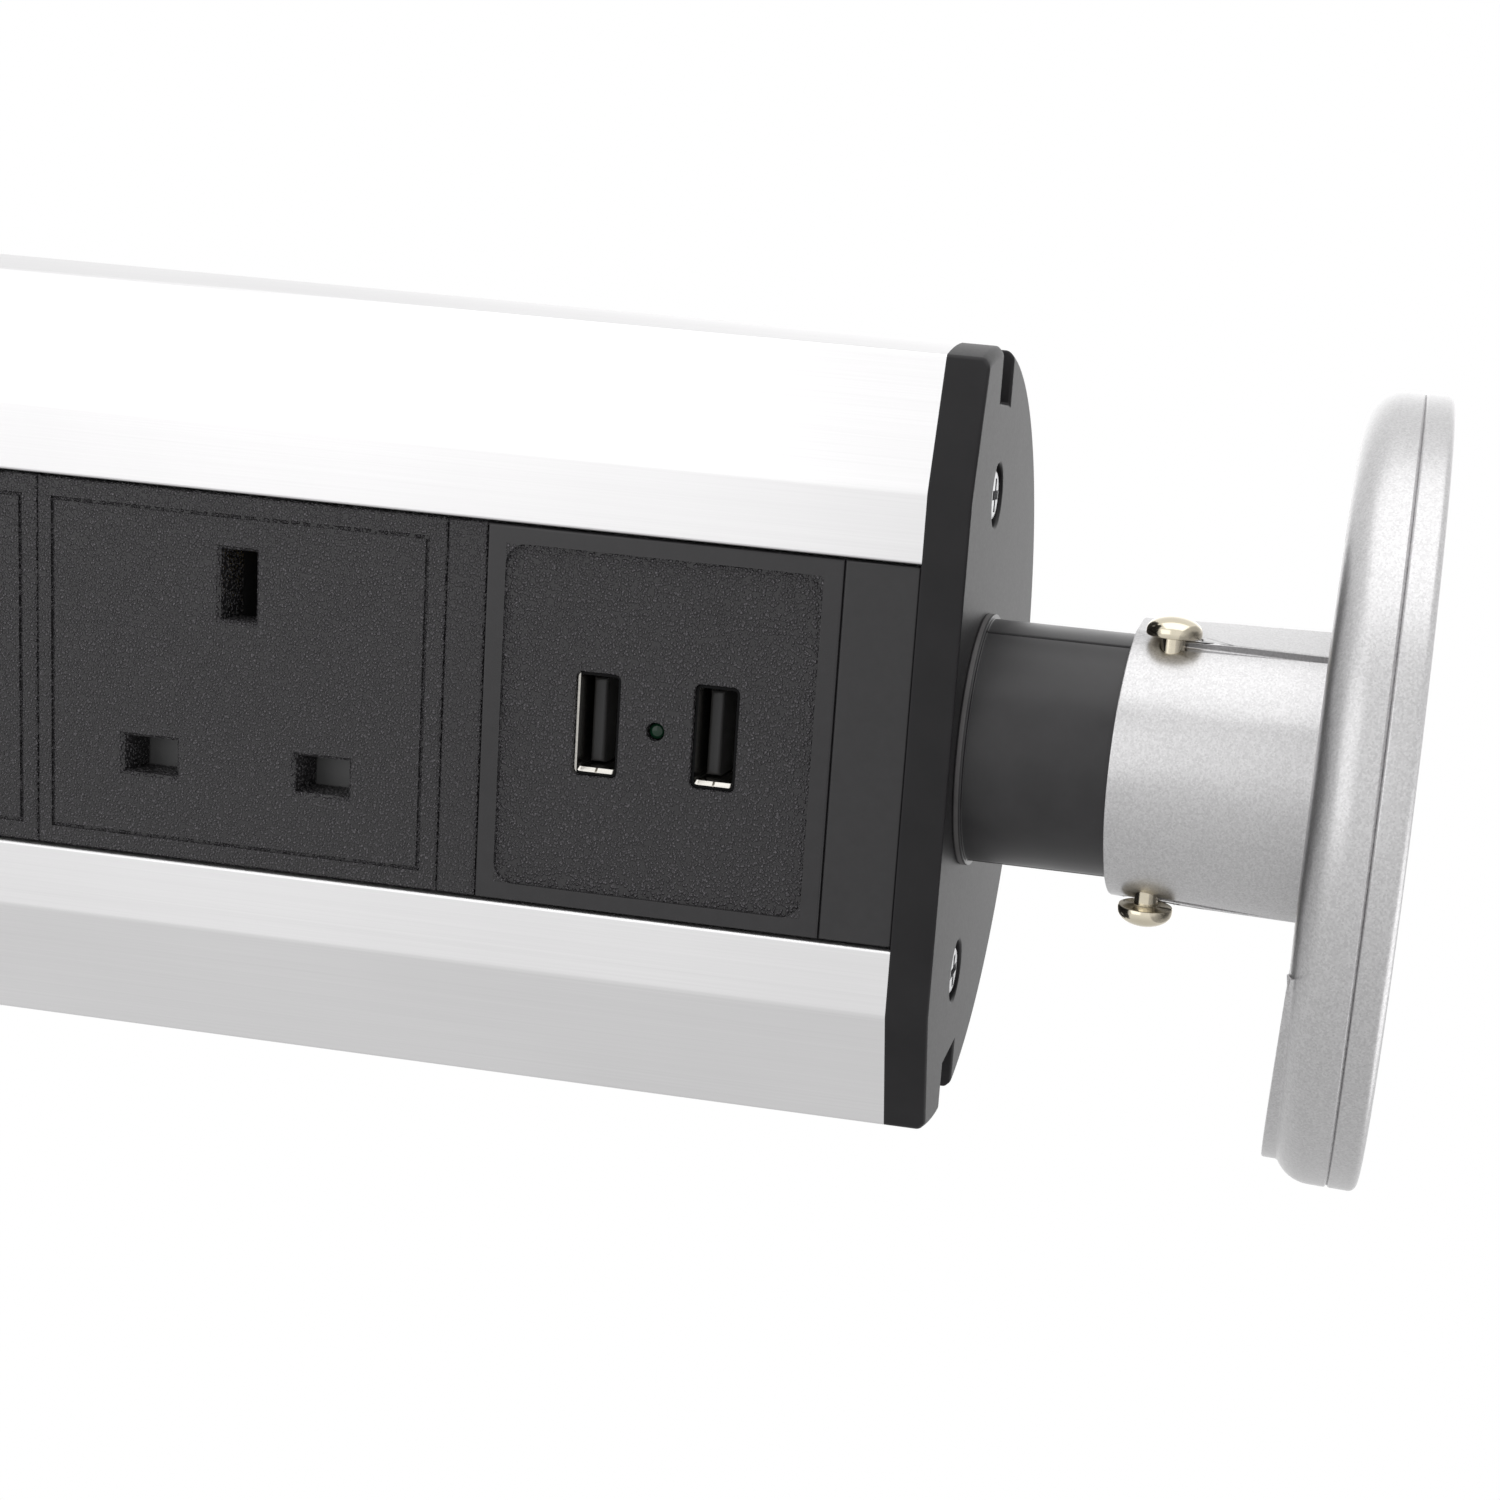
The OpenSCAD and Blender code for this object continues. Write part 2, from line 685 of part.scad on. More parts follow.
// A socket's front plate, which butts against its neighbours
module socket_plate(i) {
    low = i == socket_count ? strip_z : socket_z(i) - socket_pitch / 2;
    high = i == 1 ? strip_top : socket_z(i) + socket_pitch / 2;
    color([0.06, 0.06, 0.065])
        difference() {
            front_plate(low, high);
            translate([0, 0, socket_z(i)]) {
                plate_slot(earth_x, 0, earth_slot_l, earth_slot_w);
                for (s = [-1, 1]) plate_slot(line_x, s * line_z, line_slot_w, line_slot_l);
                difference() {
                    box([-inset_w / 2, face_y - cut, -inset_l / 2],
                        [inset_w / 2, face_y + inset_line / 2, inset_l / 2]);
                    box([inset_line - inset_w / 2, face_y - 2 * cut, inset_line - inset_l / 2],
                        [inset_w / 2 - inset_line, face_y + inset_line, inset_l / 2 - inset_line]);
                }
            }
        }
}

module socket_base() {
    color([0.1, 0.1, 0.105])
        difference() {
            union() {
                box([-base_half, back_y, strip_z + base_end], [base_half, base_back, strip_top - base_end]);
                snap_ribs(strip_z + base_end, strip_top - base_end);
            }
            for (i = [1:socket_count])
                translate([0, 0, socket_z(i)]) socket_pockets();
            for (x = [live_x, neutral_x, earth_x])
                box([x - bar_w / 2 - bar_clear, bar_y, strip_z],
                    [x + bar_w / 2 + bar_clear, base_back + cut, strip_top - 2 * base_end]);
        }
}

// The hollows behind one socket: shutter chamber, spring bay, earth well and contact pockets
module socket_pockets() {
    chamber_back = back_y + chamber_t;
    clear = shutter_clear;
    pocket_x = line_pin_t / 2 + contact_gap + contact_t + pocket_clear;
    pocket_z = line_pin_w / 2 + pocket_clear;
    earth_pocket_x = earth_pin_w / 2 + pocket_clear;
    earth_pocket_z = earth_pin_t / 2 + contact_gap + contact_t + pocket_clear;
    leg_end = leg_x + leg_w + shutter_travel + clear;
    box([line_x - blade_half - clear, back_y - cut, -blade_z - clear],
        [line_x + blade_half + shutter_travel + clear, chamber_back, blade_z + clear]);
    difference() {
        box([leg_x - clear, back_y - cut, -tail_half - clear],
            [line_x, chamber_back, arm_z + clear]);
        box([post_x, back_y - 2 * cut, tail_half + clear],
            [post_x + post_w, chamber_back + cut, arm_z + cut]);
    }
    box([earth_x - earth_slot_l / 2, back_y - cut, -tail_half - clear],
        [leg_end, ramp_y + ramp_rise + clear, tail_half + clear]);
    box([earth_x - earth_pocket_x, ramp_y + ramp_rise, -earth_pocket_z],
        [earth_x + earth_pocket_x, bar_y + eps, earth_pocket_z]);
    for (s = [-1, 1])
        box([line_x - pocket_x, chamber_back - eps, s * line_z - pocket_z],
            [line_x + pocket_x, bar_y + eps, s * line_z + pocket_z]);
}

module base_cover() {
    color([0.13, 0.13, 0.135])
        box([-base_half, base_back, strip_z + base_end],
            [base_half, base_back + cover_t, strip_top - base_end]);
}

// A shutter: a blade behind the line slots, and a tail with a ramp in the earth well that opens it
module shutter(i) {
    y0 = back_y + shutter_clear;
    y1 = y0 + shutter_t;
    color([0.55, 0.56, 0.57])
        translate([0, 0, socket_z(i)])
            union() {
                box([line_x - blade_half, y0, -blade_z], [line_x + blade_half, y1, blade_z]);
                box([leg_x, y0, -tail_half], [line_x, y1, tail_half]);
                box([arm_x - arm_w, y0, 0], [arm_x, y1, arm_z]);
                translate([0, 0, -tail_half])
                    linear_extrude(2 * tail_half)
                        polygon([[leg_x, y0], [leg_x + leg_w, y0], [leg_x + leg_w, ramp_y + ramp_rise],
                                 [leg_x - shutter_travel, ramp_y + ramp_rise], [leg_x, ramp_y]]);
            }
}

// A folded leaf spring between the shutter's arm and a post of the moulding
module shutter_spring(i) {
    z0 = tail_half + shutter_clear + spring_t;
    z1 = arm_z - spring_t;
    mid = (arm_x + post_x) / 2;
    color("goldenrod")
        translate([0, back_y + shutter_clear + shutter_t, socket_z(i)])
            rotate([90, 0, 0])
                linear_extrude(shutter_t)
                    polygon([[arm_x, z0], [arm_x + 2 * spring_t, z0], [mid, z1 - 2 * spring_t],
                             [post_x - 2 * spring_t, z0], [post_x, z0], [mid + spring_t, z1],
                             [mid - spring_t, z1]]);
}

// A spring contact: two leaves square to X or Z, a web behind them and a foot down to its bar
module line_contact(foot_x) {
    leaf = line_pin_t / 2 + contact_gap;
    for (s = [0, 1])
        translate([line_x, 0, 0])
            mirror([s, 0, 0])
                box([leaf, back_y + chamber_t + shutter_clear, -line_pin_w / 2],
                    [leaf + contact_t, web_y + contact_t, line_pin_w / 2]);
    box([line_x - leaf - contact_t, web_y, -line_pin_w / 2],
        [line_x + leaf + contact_t, web_y + contact_t, line_pin_w / 2]);
    foot_low = max(foot_x - bar_w / 2, line_x - leaf - contact_t);
    foot_high = min(foot_x + bar_w / 2, line_x + leaf + contact_t);
    box([foot_low, web_y, -line_pin_w / 4], [foot_high, bar_y + bar_t / 2, line_pin_w / 4]);
}

module earth_contact() {
    leaf = earth_pin_t / 2 + contact_gap;
    half = earth_pin_w / 2;
    for (s = [0, 1])
        mirror([0, 0, s])
            box([earth_x - half, ramp_y + ramp_rise + 2 * shutter_clear, leaf],
                [earth_x + half, web_y + contact_t, leaf + contact_t]);
    box([earth_x - half, web_y, -leaf - contact_t], [earth_x + half, web_y + contact_t, leaf + contact_t]);
    box([earth_x - bar_w / 2, web_y, -line_pin_w / 4],
        [earth_x + bar_w / 2, bar_y + bar_t / 2, line_pin_w / 4]);
}

module supply_bar(x) {
    box([x - bar_w / 2, bar_y, lead_top],
        [x + bar_w / 2, bar_y + bar_t, socket_z(1) + line_z + line_pin_w / 2]);
}

module live_bar() {
    color("gold") {
        supply_bar(live_x);
        for (i = [1:socket_count])
            translate([0, 0, socket_z(i) + line_z]) line_contact(live_x);
    }
}

module neutral_bar() {
    color("gold") {
        supply_bar(neutral_x);
        for (i = [1:socket_count])
            translate([0, 0, socket_z(i) - line_z]) line_contact(neutral_x);
    }
}

module earth_bar() {
    color("gold") {
        supply_bar(earth_x);
        for (i = [1:socket_count])
            translate([0, 0, socket_z(i)]) earth_contact();
    }
}

// Blanks

module spacer() {
    color([0.05, 0.05, 0.05]) front_plate(strip_top, usb_z);
}

module upper_blank() {
    color([0.05, 0.05, 0.05]) front_plate(usb_top, profile_top);
}

module lower_blank() {
    color([0.05, 0.05, 0.05]) front_plate(profile_z, strip_z);
}

// Charger

module usb_panel() {
    color([0.06, 0.06, 0.065])
        difference() {
            front_plate(usb_z, usb_top);
            translate([0, 0, usb_mid]) {
                rounded_prism(usb_inset_w / 2, usb_inset_l / 2, usb_inset_r,
                              face_y - cut, face_y + usb_inset_depth);
                for (s = [-1, 1])
                    translate([0, 0, s * usb_pitch / 2])
                        rounded_prism(usb_cut_l / 2, usb_cut_w / 2, usb_cut_r, face_y - cut, back_y + cut);
                translate([0, face_y - cut, 0])
                    rotate([-90, 0, 0]) cylinder(d = led_d + 2 * usb_clear, h = plate_t + 2 * cut);
            }
        }
}

module usb_housing() {
    wall = usb_box_wall;
    low = usb_z + base_end;
    high = usb_top - base_end;
    box_back = back_y + usb_box_depth;
    color([0.13, 0.13, 0.135])
        union() {
            difference() {
                box([-base_half, back_y, low], [base_half, box_back, high]);
                box([wall - base_half, back_y - cut, low + wall],
                    [base_half - wall, box_back - wall, high - wall]);
            }
            snap_ribs(low, high);
            for (s = [0, 1])
                mirror([s, 0, 0])
                    box([base_half - wall - rail_w, board_y + board_t, low],
                        [base_half - wall + eps, board_y + board_t + rail_w, high]);
        }
}

module usb_board() {
    color("darkgreen")
        box([-board_half, board_y, usb_mid - board_len / 2],
            [board_half, board_y + board_t, usb_mid + board_len / 2]);
}

function port_z(i) = usb_mid + (2 * i - 3) * usb_pitch / 2;

module usb_shell(i) {
    half_x = usb_cut_l / 2 - usb_clear;
    half_z = usb_cut_w / 2 - usb_clear;
    wall = usb_shell_t;
    shell_y = face_y + usb_inset_depth + usb_set_back;
    color("lightgray")
        translate([0, 0, port_z(i)])
            difference() {
                rounded_prism(half_x, half_z, usb_cut_r - usb_clear, shell_y, board_y);
                rounded_prism(half_x - wall, half_z - wall, usb_cut_r - usb_clear - wall,
                              shell_y - cut, board_y - wall);
            }
}

module usb_tongue(i) {
    half_z = usb_cut_w / 2 - usb_clear - usb_shell_t;
    back = board_y - usb_shell_t;
    color([0.6, 0.61, 0.62])
        translate([0, 0, port_z(i)])
            union() {
                box([-tongue_l / 2, back - tongue_depth, tongue_gap - half_z],
                    [tongue_l / 2, back, tongue_gap + tongue_t - half_z]);
                box([-tongue_l / 2, back - tongue_root, -half_z], [tongue_l / 2, back, half_z]);
            }
}

module usb_transformer() {
    color("khaki")
        translate([-board_half / 2, board_y + board_t + core_h / 2, usb_mid])
            cube([core_w, core_h, core_l], center = true);
}

module usb_capacitor() {
    color([0.15, 0.15, 0.3])
        translate([board_half / 2, board_y + board_t, usb_mid])
            rotate([-90, 0, 0]) cylinder(d = cell_d, h = cell_h);
}

module usb_led() {
    lens_y = face_y + usb_inset_depth / 2;
    color([0.3, 0.9, 0.3])
        translate([0, lens_y, usb_mid])
            rotate([-90, 0, 0]) cylinder(d = led_d, h = board_y - lens_y);
}

// Supply

module terminal_block() {
    color("whitesmoke")
        difference() {
            box([earth_x - bar_w / 2 - terminal_edge, back_y, terminal_z],
                [live_x + bar_w / 2 + terminal_edge, lead_y + terminal_edge, terminal_top]);
            for (x = [live_x, neutral_x, earth_x]) {
                translate([x, lead_y, terminal_top - lead_in]) cylinder(d = lead_d, h = lead_in + cut);
                translate([x, lead_y, terminal_z + lead_in / 2])
                    rotate([-90, 0, 0]) cylinder(d = terminal_screw_d, h = 2 * terminal_edge);
            }
        }
}

module terminal_screws() {
    color("gold")
        for (x = [live_x, neutral_x, earth_x])
            translate([x, lead_y, terminal_z + lead_in / 2])
                rotate([-90, 0, 0]) cylinder(d = terminal_screw_d, h = terminal_edge - terminal_sink);
}

module lead(x) {
    translate([x, lead_y, terminal_top - lead_in]) cylinder(d = lead_d, h = lead_len);
}

module lead_live() {
    color("saddlebrown") lead(live_x);
}

module lead_neutral() {
    color("royalblue") lead(neutral_x);
}

module lead_earth() {
    color("yellowgreen") lead(earth_x);
}

module cable_gland() {
    cap_low = profile_z - bottom_cap_t;
    color([0.12, 0.12, 0.12])
        difference() {
            union() {
                translate([0, 0, cap_low - gland_len])
                    cylinder(d = gland_flats / cos(30), h = gland_len, $fn = 6);
                translate([0, 0, cap_low - eps])
                    cylinder(d = gland_d, h = bottom_cap_t + gland_nut_h + eps);
            }
            translate([0, 0, cap_low - gland_len - cut])
                cylinder(d = gland_bore_d, h = gland_len + bottom_cap_t + gland_nut_h + 2 * cut);
        }
}

module gland_nut() {
    color([0.12, 0.12, 0.12])
        translate([0, 0, profile_z])
            difference() {
                cylinder(d = gland_flats / cos(30), h = gland_nut_h, $fn = 6);
                translate([0, 0, -cut])
                    cylinder(d = gland_d + 2 * gland_clear, h = gland_nut_h + 2 * cut);
            }
}

// Neck and lid

module neck() {
    seam_x = sqrt(pow(neck_r, 2) - pow(seam_offset, 2)) - seam_w;
    color([0.07, 0.07, 0.075])
        difference() {
            union() {
                translate([0, 0, cap_z]) cylinder(r = neck_r + neck_ring, h = neck_ring_h);
                translate([0, 0, cap_z]) cylinder(r = neck_r, h = neck_top - cap_z);
            }
            for (s = [0, 1])
                mirror([s, 0, 0])
                    box([seam_x, -seam_offset - seam_w / 2, cap_z + neck_ring_h],
                        [neck_r, -seam_offset + seam_w / 2, neck_top + cut]);
            pin_bore(neck_r);
            for (s = [-1, 1])
                translate([0, s * neck_r / 2, cap_z - cut]) cylinder(d = screw_d, h = neck_show / 2 + cut);
        }
}

// The cross bore for the hinge pins, as a solid to cut away
module pin_bore(half) {
    translate([-half, hinge_y, pin_z]) rotate([0, 90, 0]) cylinder(d = pin_d + 2 * pin_clear, h = 2 * half);
}

module neck_screw(i) {
    color("gray")
        translate([0, (2 * i - 3) * neck_r / 2, profile_top])
            pan_screw(screw_d, screw_head_d, screw_head_h, cap_t + neck_show / 2 - stop_gap);
}

// Leans the lid on its hinge pins, front edge down, as it rests
module lean() {
    translate([0, hinge_y, pin_z])
        rotate([tilt_max, 0, 0])
            translate([0, -hinge_y, -pin_z]) children();
}

module lid_base() {
    color([0.78, 0.78, 0.79])
        lean()
            difference() {
                union() {
                    translate([0, 0, lid_z]) lid_dish();
                    grip_lip();
                    collar();
                }
                translate([0, 0, collar_z - cut]) cylinder(r = cavity_r, h = cavity_top - collar_z + cut);
                pin_bore(lid_r);
                translate([0, 0, seam_z - register_t]) cylinder(d = register_d, h = register_t + cut);
            }
}

// The collar round the neck, with a flat, a slot and a pin seat on each side
module collar() {
    slot_turn = asin(pin_offset / collar_r);
    difference() {
        translate([0, 0, collar_z])
            cylinder(r1 = collar_r, r2 = collar_r + collar_h * tan(collar_draft), h = collar_h);
        for (s = [0, 1])
            mirror([s, 0, 0]) {
                rotate(-flat_turn)
                    translate([collar_flat, -collar_r, collar_z - cut])
                        cube([collar_r, collar_d, collar_h + cut]);
                rotate(-slot_turn)
                    translate([collar_r - slot_depth, -slot_w / 2, pin_z])
                        cube([collar_r, slot_w, lid_z - pin_z]);
                translate([pin_head_x - seat_clear, hinge_y, pin_z])
                    rotate([0, 90, 0]) cylinder(d = pin_head_d + 2 * seat_clear, h = collar_r);
            }
    }
}

// A lip under one side of the lid for the fingers; it falls gently towards the lid's edge
module grip_lip() {
    lip_r = lip_d / 2;
    intersection() {
        translate([0, 0, lid_z - lip_t]) cylinder(r = lip_r, h = lip_t + lip_rise);
        translate([0, lip_r, 0])
            rotate([90, 0, 0])
                linear_extrude(lip_d)
                    polygon([[lip_start, lid_z], [lip_r, lid_z - lip_t], [lip_r, lid_z + lip_rise],
                             [lip_start, lid_z + lip_rise]]);
    }
}

// The lid below its seam: a disc with a large rounding under its edge
module lid_dish() {
    rotate_extrude()
        intersection() {
            polygon([[0, 0], [lid_r, 0], [lid_r, lid_base_t - lid_seam], [lid_r - lid_seam, lid_base_t],
                     [0, lid_base_t]]);
            union() {
                square([lid_r - lid_round, lid_base_t]);
                translate([0, lid_round]) square([lid_r, lid_base_t]);
                translate([lid_r - lid_round, lid_round]) circle(lid_round);
            }
        }
}

module lid_plate() {
    color([0.8, 0.8, 0.81])
        lean()
            union() {
                translate([0, 0, seam_z])
                    rotate_extrude()
                        polygon([[0, 0], [lid_r - lid_seam, 0], [lid_r, lid_seam],
                                 [lid_r, lid_plate_t - lid_edge], [lid_r - lid_edge, lid_plate_t],
                                 [0, lid_plate_t]]);
                translate([0, 0, seam_z - register_t])
                    cylinder(d = register_d - 2 * register_clear, h = register_t + cut);
            }
}

// A hinge pin with a domed head that stands clear of the collar
module hinge_pin(i) {
    dome_h = pin_head_h - pin_edge;
    dome_r = (pow(dome_h, 2) + pow(pin_head_d / 2, 2)) / (2 * dome_h);
    color("wheat")
        mirror([2 - i, 0, 0])
            translate([0, hinge_y, pin_z])
                rotate([0, 90, 0])
                    union() {
                        translate([0, 0, pin_end_x])
                            cylinder(d = pin_d, h = pin_head_x + pin_edge - pin_end_x);
                        intersection() {
                            translate([0, 0, pin_head_x]) cylinder(d = pin_head_d, h = pin_head_h);
                            translate([0, 0, pin_head_x + pin_head_h - dome_r]) sphere(dome_r);
                        }
                    }
}

desk_ring();
sleeve();
front_guide(1);  // front_guide_1
front_guide(2);  // front_guide_2
brake_pad(1);  // brake_pad_1
brake_pad(2);  // brake_pad_2
clamp_washer();
clamp_nut();
profile();
top_cap();
top_screw(1);  // top_screw_1
top_screw(2);  // top_screw_2
bottom_cap();
bottom_screw(1);  // bottom_screw_1
bottom_screw(2);  // bottom_screw_2
socket_plate(1);  // socket_plate_1
socket_plate(2);  // socket_plate_2
socket_plate(3);  // socket_plate_3
socket_base();
base_cover();
live_bar();
neutral_bar();
earth_bar();
shutter(1);  // shutter_1
shutter(2);  // shutter_2
shutter(3);  // shutter_3
shutter_spring(1);  // shutter_spring_1
shutter_spring(2);  // shutter_spring_2
shutter_spring(3);  // shutter_spring_3
spacer();
upper_blank();
lower_blank();
usb_panel();
usb_housing();
usb_board();
usb_shell(1);  // usb_shell_1
usb_shell(2);  // usb_shell_2
usb_tongue(1);  // usb_tongue_1
usb_tongue(2);  // usb_tongue_2
usb_transformer();
usb_capacitor();
usb_led();
terminal_block();
terminal_screws();
lead_live();
lead_neutral();
lead_earth();
cable_gland();
gland_nut();
neck();
neck_screw(1);  // neck_screw_1
neck_screw(2);  // neck_screw_2
lid_base();
lid_plate();
hinge_pin(1);  // hinge_pin_1
hinge_pin(2);  // hinge_pin_2
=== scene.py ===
# %% [markdown]
# # Pop up desk socket
# A D-section aluminium tower carries mains sockets and a USB charger, and slides up out of a sleeve
# that is clamped in a worktop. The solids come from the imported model, in metres. This lesson models
# again by hand the pieces whose edges and small forms the eye looks for, and gives all of them finishes.

# %% Load the frame
import json
import math

import bmesh
import bpy
from mathutils import Matrix, Vector


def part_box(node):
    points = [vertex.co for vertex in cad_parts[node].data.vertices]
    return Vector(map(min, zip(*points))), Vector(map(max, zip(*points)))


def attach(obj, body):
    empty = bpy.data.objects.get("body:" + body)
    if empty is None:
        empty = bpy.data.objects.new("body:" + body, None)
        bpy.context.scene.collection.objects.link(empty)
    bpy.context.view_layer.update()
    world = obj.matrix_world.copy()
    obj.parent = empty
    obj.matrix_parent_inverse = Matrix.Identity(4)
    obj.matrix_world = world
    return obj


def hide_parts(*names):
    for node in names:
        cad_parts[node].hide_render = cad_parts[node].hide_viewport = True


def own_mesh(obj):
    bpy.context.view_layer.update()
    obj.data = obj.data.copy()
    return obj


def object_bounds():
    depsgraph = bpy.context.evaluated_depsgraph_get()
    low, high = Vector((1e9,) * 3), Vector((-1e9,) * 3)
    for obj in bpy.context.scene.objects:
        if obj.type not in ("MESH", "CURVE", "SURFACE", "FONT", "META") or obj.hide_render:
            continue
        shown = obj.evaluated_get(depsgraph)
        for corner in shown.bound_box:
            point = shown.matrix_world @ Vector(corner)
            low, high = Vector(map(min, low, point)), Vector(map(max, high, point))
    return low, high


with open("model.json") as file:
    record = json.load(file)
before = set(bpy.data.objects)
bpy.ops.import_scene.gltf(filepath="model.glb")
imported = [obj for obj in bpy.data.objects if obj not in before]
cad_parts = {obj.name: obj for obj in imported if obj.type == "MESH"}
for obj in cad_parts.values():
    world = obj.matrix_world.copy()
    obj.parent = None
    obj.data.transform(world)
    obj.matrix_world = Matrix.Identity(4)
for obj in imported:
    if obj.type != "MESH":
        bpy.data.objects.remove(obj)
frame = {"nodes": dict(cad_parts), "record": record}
cad_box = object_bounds()
nodes = frame["nodes"]
scene = bpy.context.scene
scene.view_settings.view_transform = "Standard"
MM = 0.001
print("nodes:", len(nodes), "box:", [tuple(round(c, 4) for c in corner) for corner in cad_box])

# %% [markdown]
# ## The camera
# The photo shows the tower lying on its side, cut by the left edge, so the camera is rolled by about
# a quarter turn: the picture's right is the tower's +Z and its top is -X. A camera could be turned by
# eye, but the object's own edges, such as the channel's sides and the rims of the discs, fix its place
# and lens better. The picture is an off-centre part of a wider view, which the lens shift gives.

# %% Camera
PHOTO_RIGHT = Vector((-0.09491, 0.10657, 0.98977))
PHOTO_DOWN = Vector((0.98207, -0.15264, 0.11061))
PHOTO_AHEAD = Vector((0.16287, 0.98252, -0.09017))
CAMERA_PLACE = Vector((-39.86, -209.45, 258.11)) * MM
lens_data = bpy.data.cameras.new("camera")
camera = bpy.data.objects.new("camera", lens_data)
scene.collection.objects.link(camera)
turn = Matrix((PHOTO_RIGHT, -PHOTO_DOWN, -PHOTO_AHEAD)).transposed()
camera.matrix_world = Matrix.Translation(CAMERA_PLACE) @ turn.to_4x4()
lens_data.sensor_width = 36
lens_data.lens = 40.37
lens_data.shift_x = -0.21
lens_data.shift_y = -0.0275
lens_data.clip_start = 0.01
scene.camera = camera
print("camera at", tuple(round(v, 3) for v in camera.location), "lens", lens_data.lens)

# %% [markdown]
# ## Shader arithmetic
# Every finish below is a small sum: a base value plus so much of a noise. Wiring Math nodes by hand
# hides that sum, so a wrapped socket here understands + - * and their mirrored forms, and each
# operation adds its Math node. All other nodes come from one method.


# %% A socket that can be reckoned with
class Wire:
    def __init__(self, recipe, socket):
        self.recipe = recipe
        self.socket = socket

    def reckon(self, operation, first, second):
        return self.recipe.node("Math", {"operation": operation}, {0: first, 1: second})

    def __add__(self, other):
        return self.reckon("ADD", self, other)

    def __radd__(self, other):
        return self.reckon("ADD", other, self)

    def __sub__(self, other):
        return self.reckon("SUBTRACT", self, other)

    def __rsub__(self, other):
        return self.reckon("SUBTRACT", other, self)

    def __mul__(self, other):
        return self.reckon("MULTIPLY", self, other)

    def __rmul__(self, other):
        return self.reckon("MULTIPLY", other, self)

    def __lt__(self, other):
        return self.reckon("LESS_THAN", self, other)

    def __gt__(self, other):
        return self.reckon("GREATER_THAN", self, other)

    def __abs__(self):
        return self.reckon("ABSOLUTE", self, 0.0)


# %% A recipe of nodes
class Recipe:
    def __init__(self, tree):
        self.tree = tree

    def node(self, kind, settings=None, sockets=None, out=0):
        made = self.tree.nodes.new("ShaderNode" + kind)
        for key, value in (settings or {}).items():
            if key == "stops":
                self.set_stops(made.color_ramp, value)
            else:
                setattr(made, key, value)
        for key, value in (sockets or {}).items():
            self.join(value, made.inputs[key])
        return None if out is None else Wire(self, made.outputs[out])

    def set_stops(self, ramp, stops):
        while len(ramp.elements) < len(stops):
            ramp.elements.new(0.5)
        for element, (at, colour) in zip(ramp.elements, stops):
            element.position = at
            element.color = colour

    def join(self, value, target):
        if isinstance(value, Wire):
            self.tree.links.new(value.socket, target)
        else:
            target.default_value = value


# %% A finish: one material with one shader
class Finish(Recipe):
    def __init__(self, name, **constants):
        self.material = bpy.data.materials.new(name)
        self.material.use_nodes = True
        super().__init__(self.material.node_tree)
        self.shader = self.tree.nodes["Principled BSDF"]
        for socket, value in constants.items():
            self.shader.inputs[socket.replace("_", " ")].default_value = value
        self.place = None

    def feed(self, socket, value):
        self.join(value, self.shader.inputs[socket])

    def at(self, scale=(1, 1, 1)):
        if self.place is None:
            self.place = self.node("TexCoord", out="Object")
        return self.node("Mapping", None, {"Vector": self.place, "Scale": scale})

    def axes(self):
        split = self.node("SeparateXYZ", None, {0: self.at()})
        return [Wire(self, split.socket.node.outputs[i]) for i in range(3)]

    def noise(self, scale, detail=2.0, where=None):
        return self.node("TexNoise", None,
                         {"Vector": where or self.at(), "Scale": scale, "Detail": detail})

    def ramp(self, value, *stops):
        grey = [(at, (v, v, v, 1)) for at, v in stops]
        return self.node("ValToRGB", {"stops": grey}, {0: value})

    def blend(self, factor, dark, light):
        dark, light = (c if isinstance(c, Wire) else (*c, 1) for c in (dark, light))
        return self.node("Mix", {"data_type": "RGBA"}, {0: factor, 6: dark, 7: light}, out=2)

    def bump(self, height, depth, strength=1.0, under=None):
        sockets = {"Height": height, "Distance": depth, "Strength": strength}
        if under is not None:
            sockets["Normal"] = under
        return self.node("Bump", None, sockets)

    def worn_edge(self, radius):
        rounded = self.node("Bevel", {"samples": 4}, {"Radius": radius})
        flat = self.node("NewGeometry", out="Normal")
        lined_up = self.node("VectorMath", {"operation": "DOT_PRODUCT"},
                             {0: rounded, 1: flat}, out="Value")
        return self.ramp(1.0 - lined_up, (0.02, 0.0), (0.2, 1.0))


finishes = {}


def finish(name, **constants):
    finishes[name] = Finish(name, **constants)
    return finishes[name]


# %% [markdown]
# ## Anodised aluminium
# The tower is an extrusion, brushed along its length and anodised clear, so it is pale with hair-fine
# streaks. A streak is noise squeezed to many cells across and few along. It moves the colour and the
# roughness a little, and a trace of bump breaks the highlights.

# %% Brushed aluminium
alloy = finish("satin_aluminium", Metallic=1.0, Anisotropic=0.3)
streak = alloy.noise(1.0, 2.0, alloy.at(scale=(3600, 3600, 9)))
hair = alloy.noise(1.0, 2.0, alloy.at(scale=(9000, 9000, 45)))
haze = alloy.noise(40.0, 2.0)
alloy_tone = alloy.ramp(0.35 * streak + 0.35 * hair + 0.3 * haze, (0.25, 0.0), (0.75, 1.0))
alloy.feed("Base Color", alloy.blend(alloy_tone, (0.74, 0.735, 0.74), (0.82, 0.815, 0.82)))
alloy.feed("Roughness", 0.34 + 0.06 * streak + 0.06 * hair)
alloy.feed("Normal", alloy.bump(hair, 0.01 * MM, 0.12))

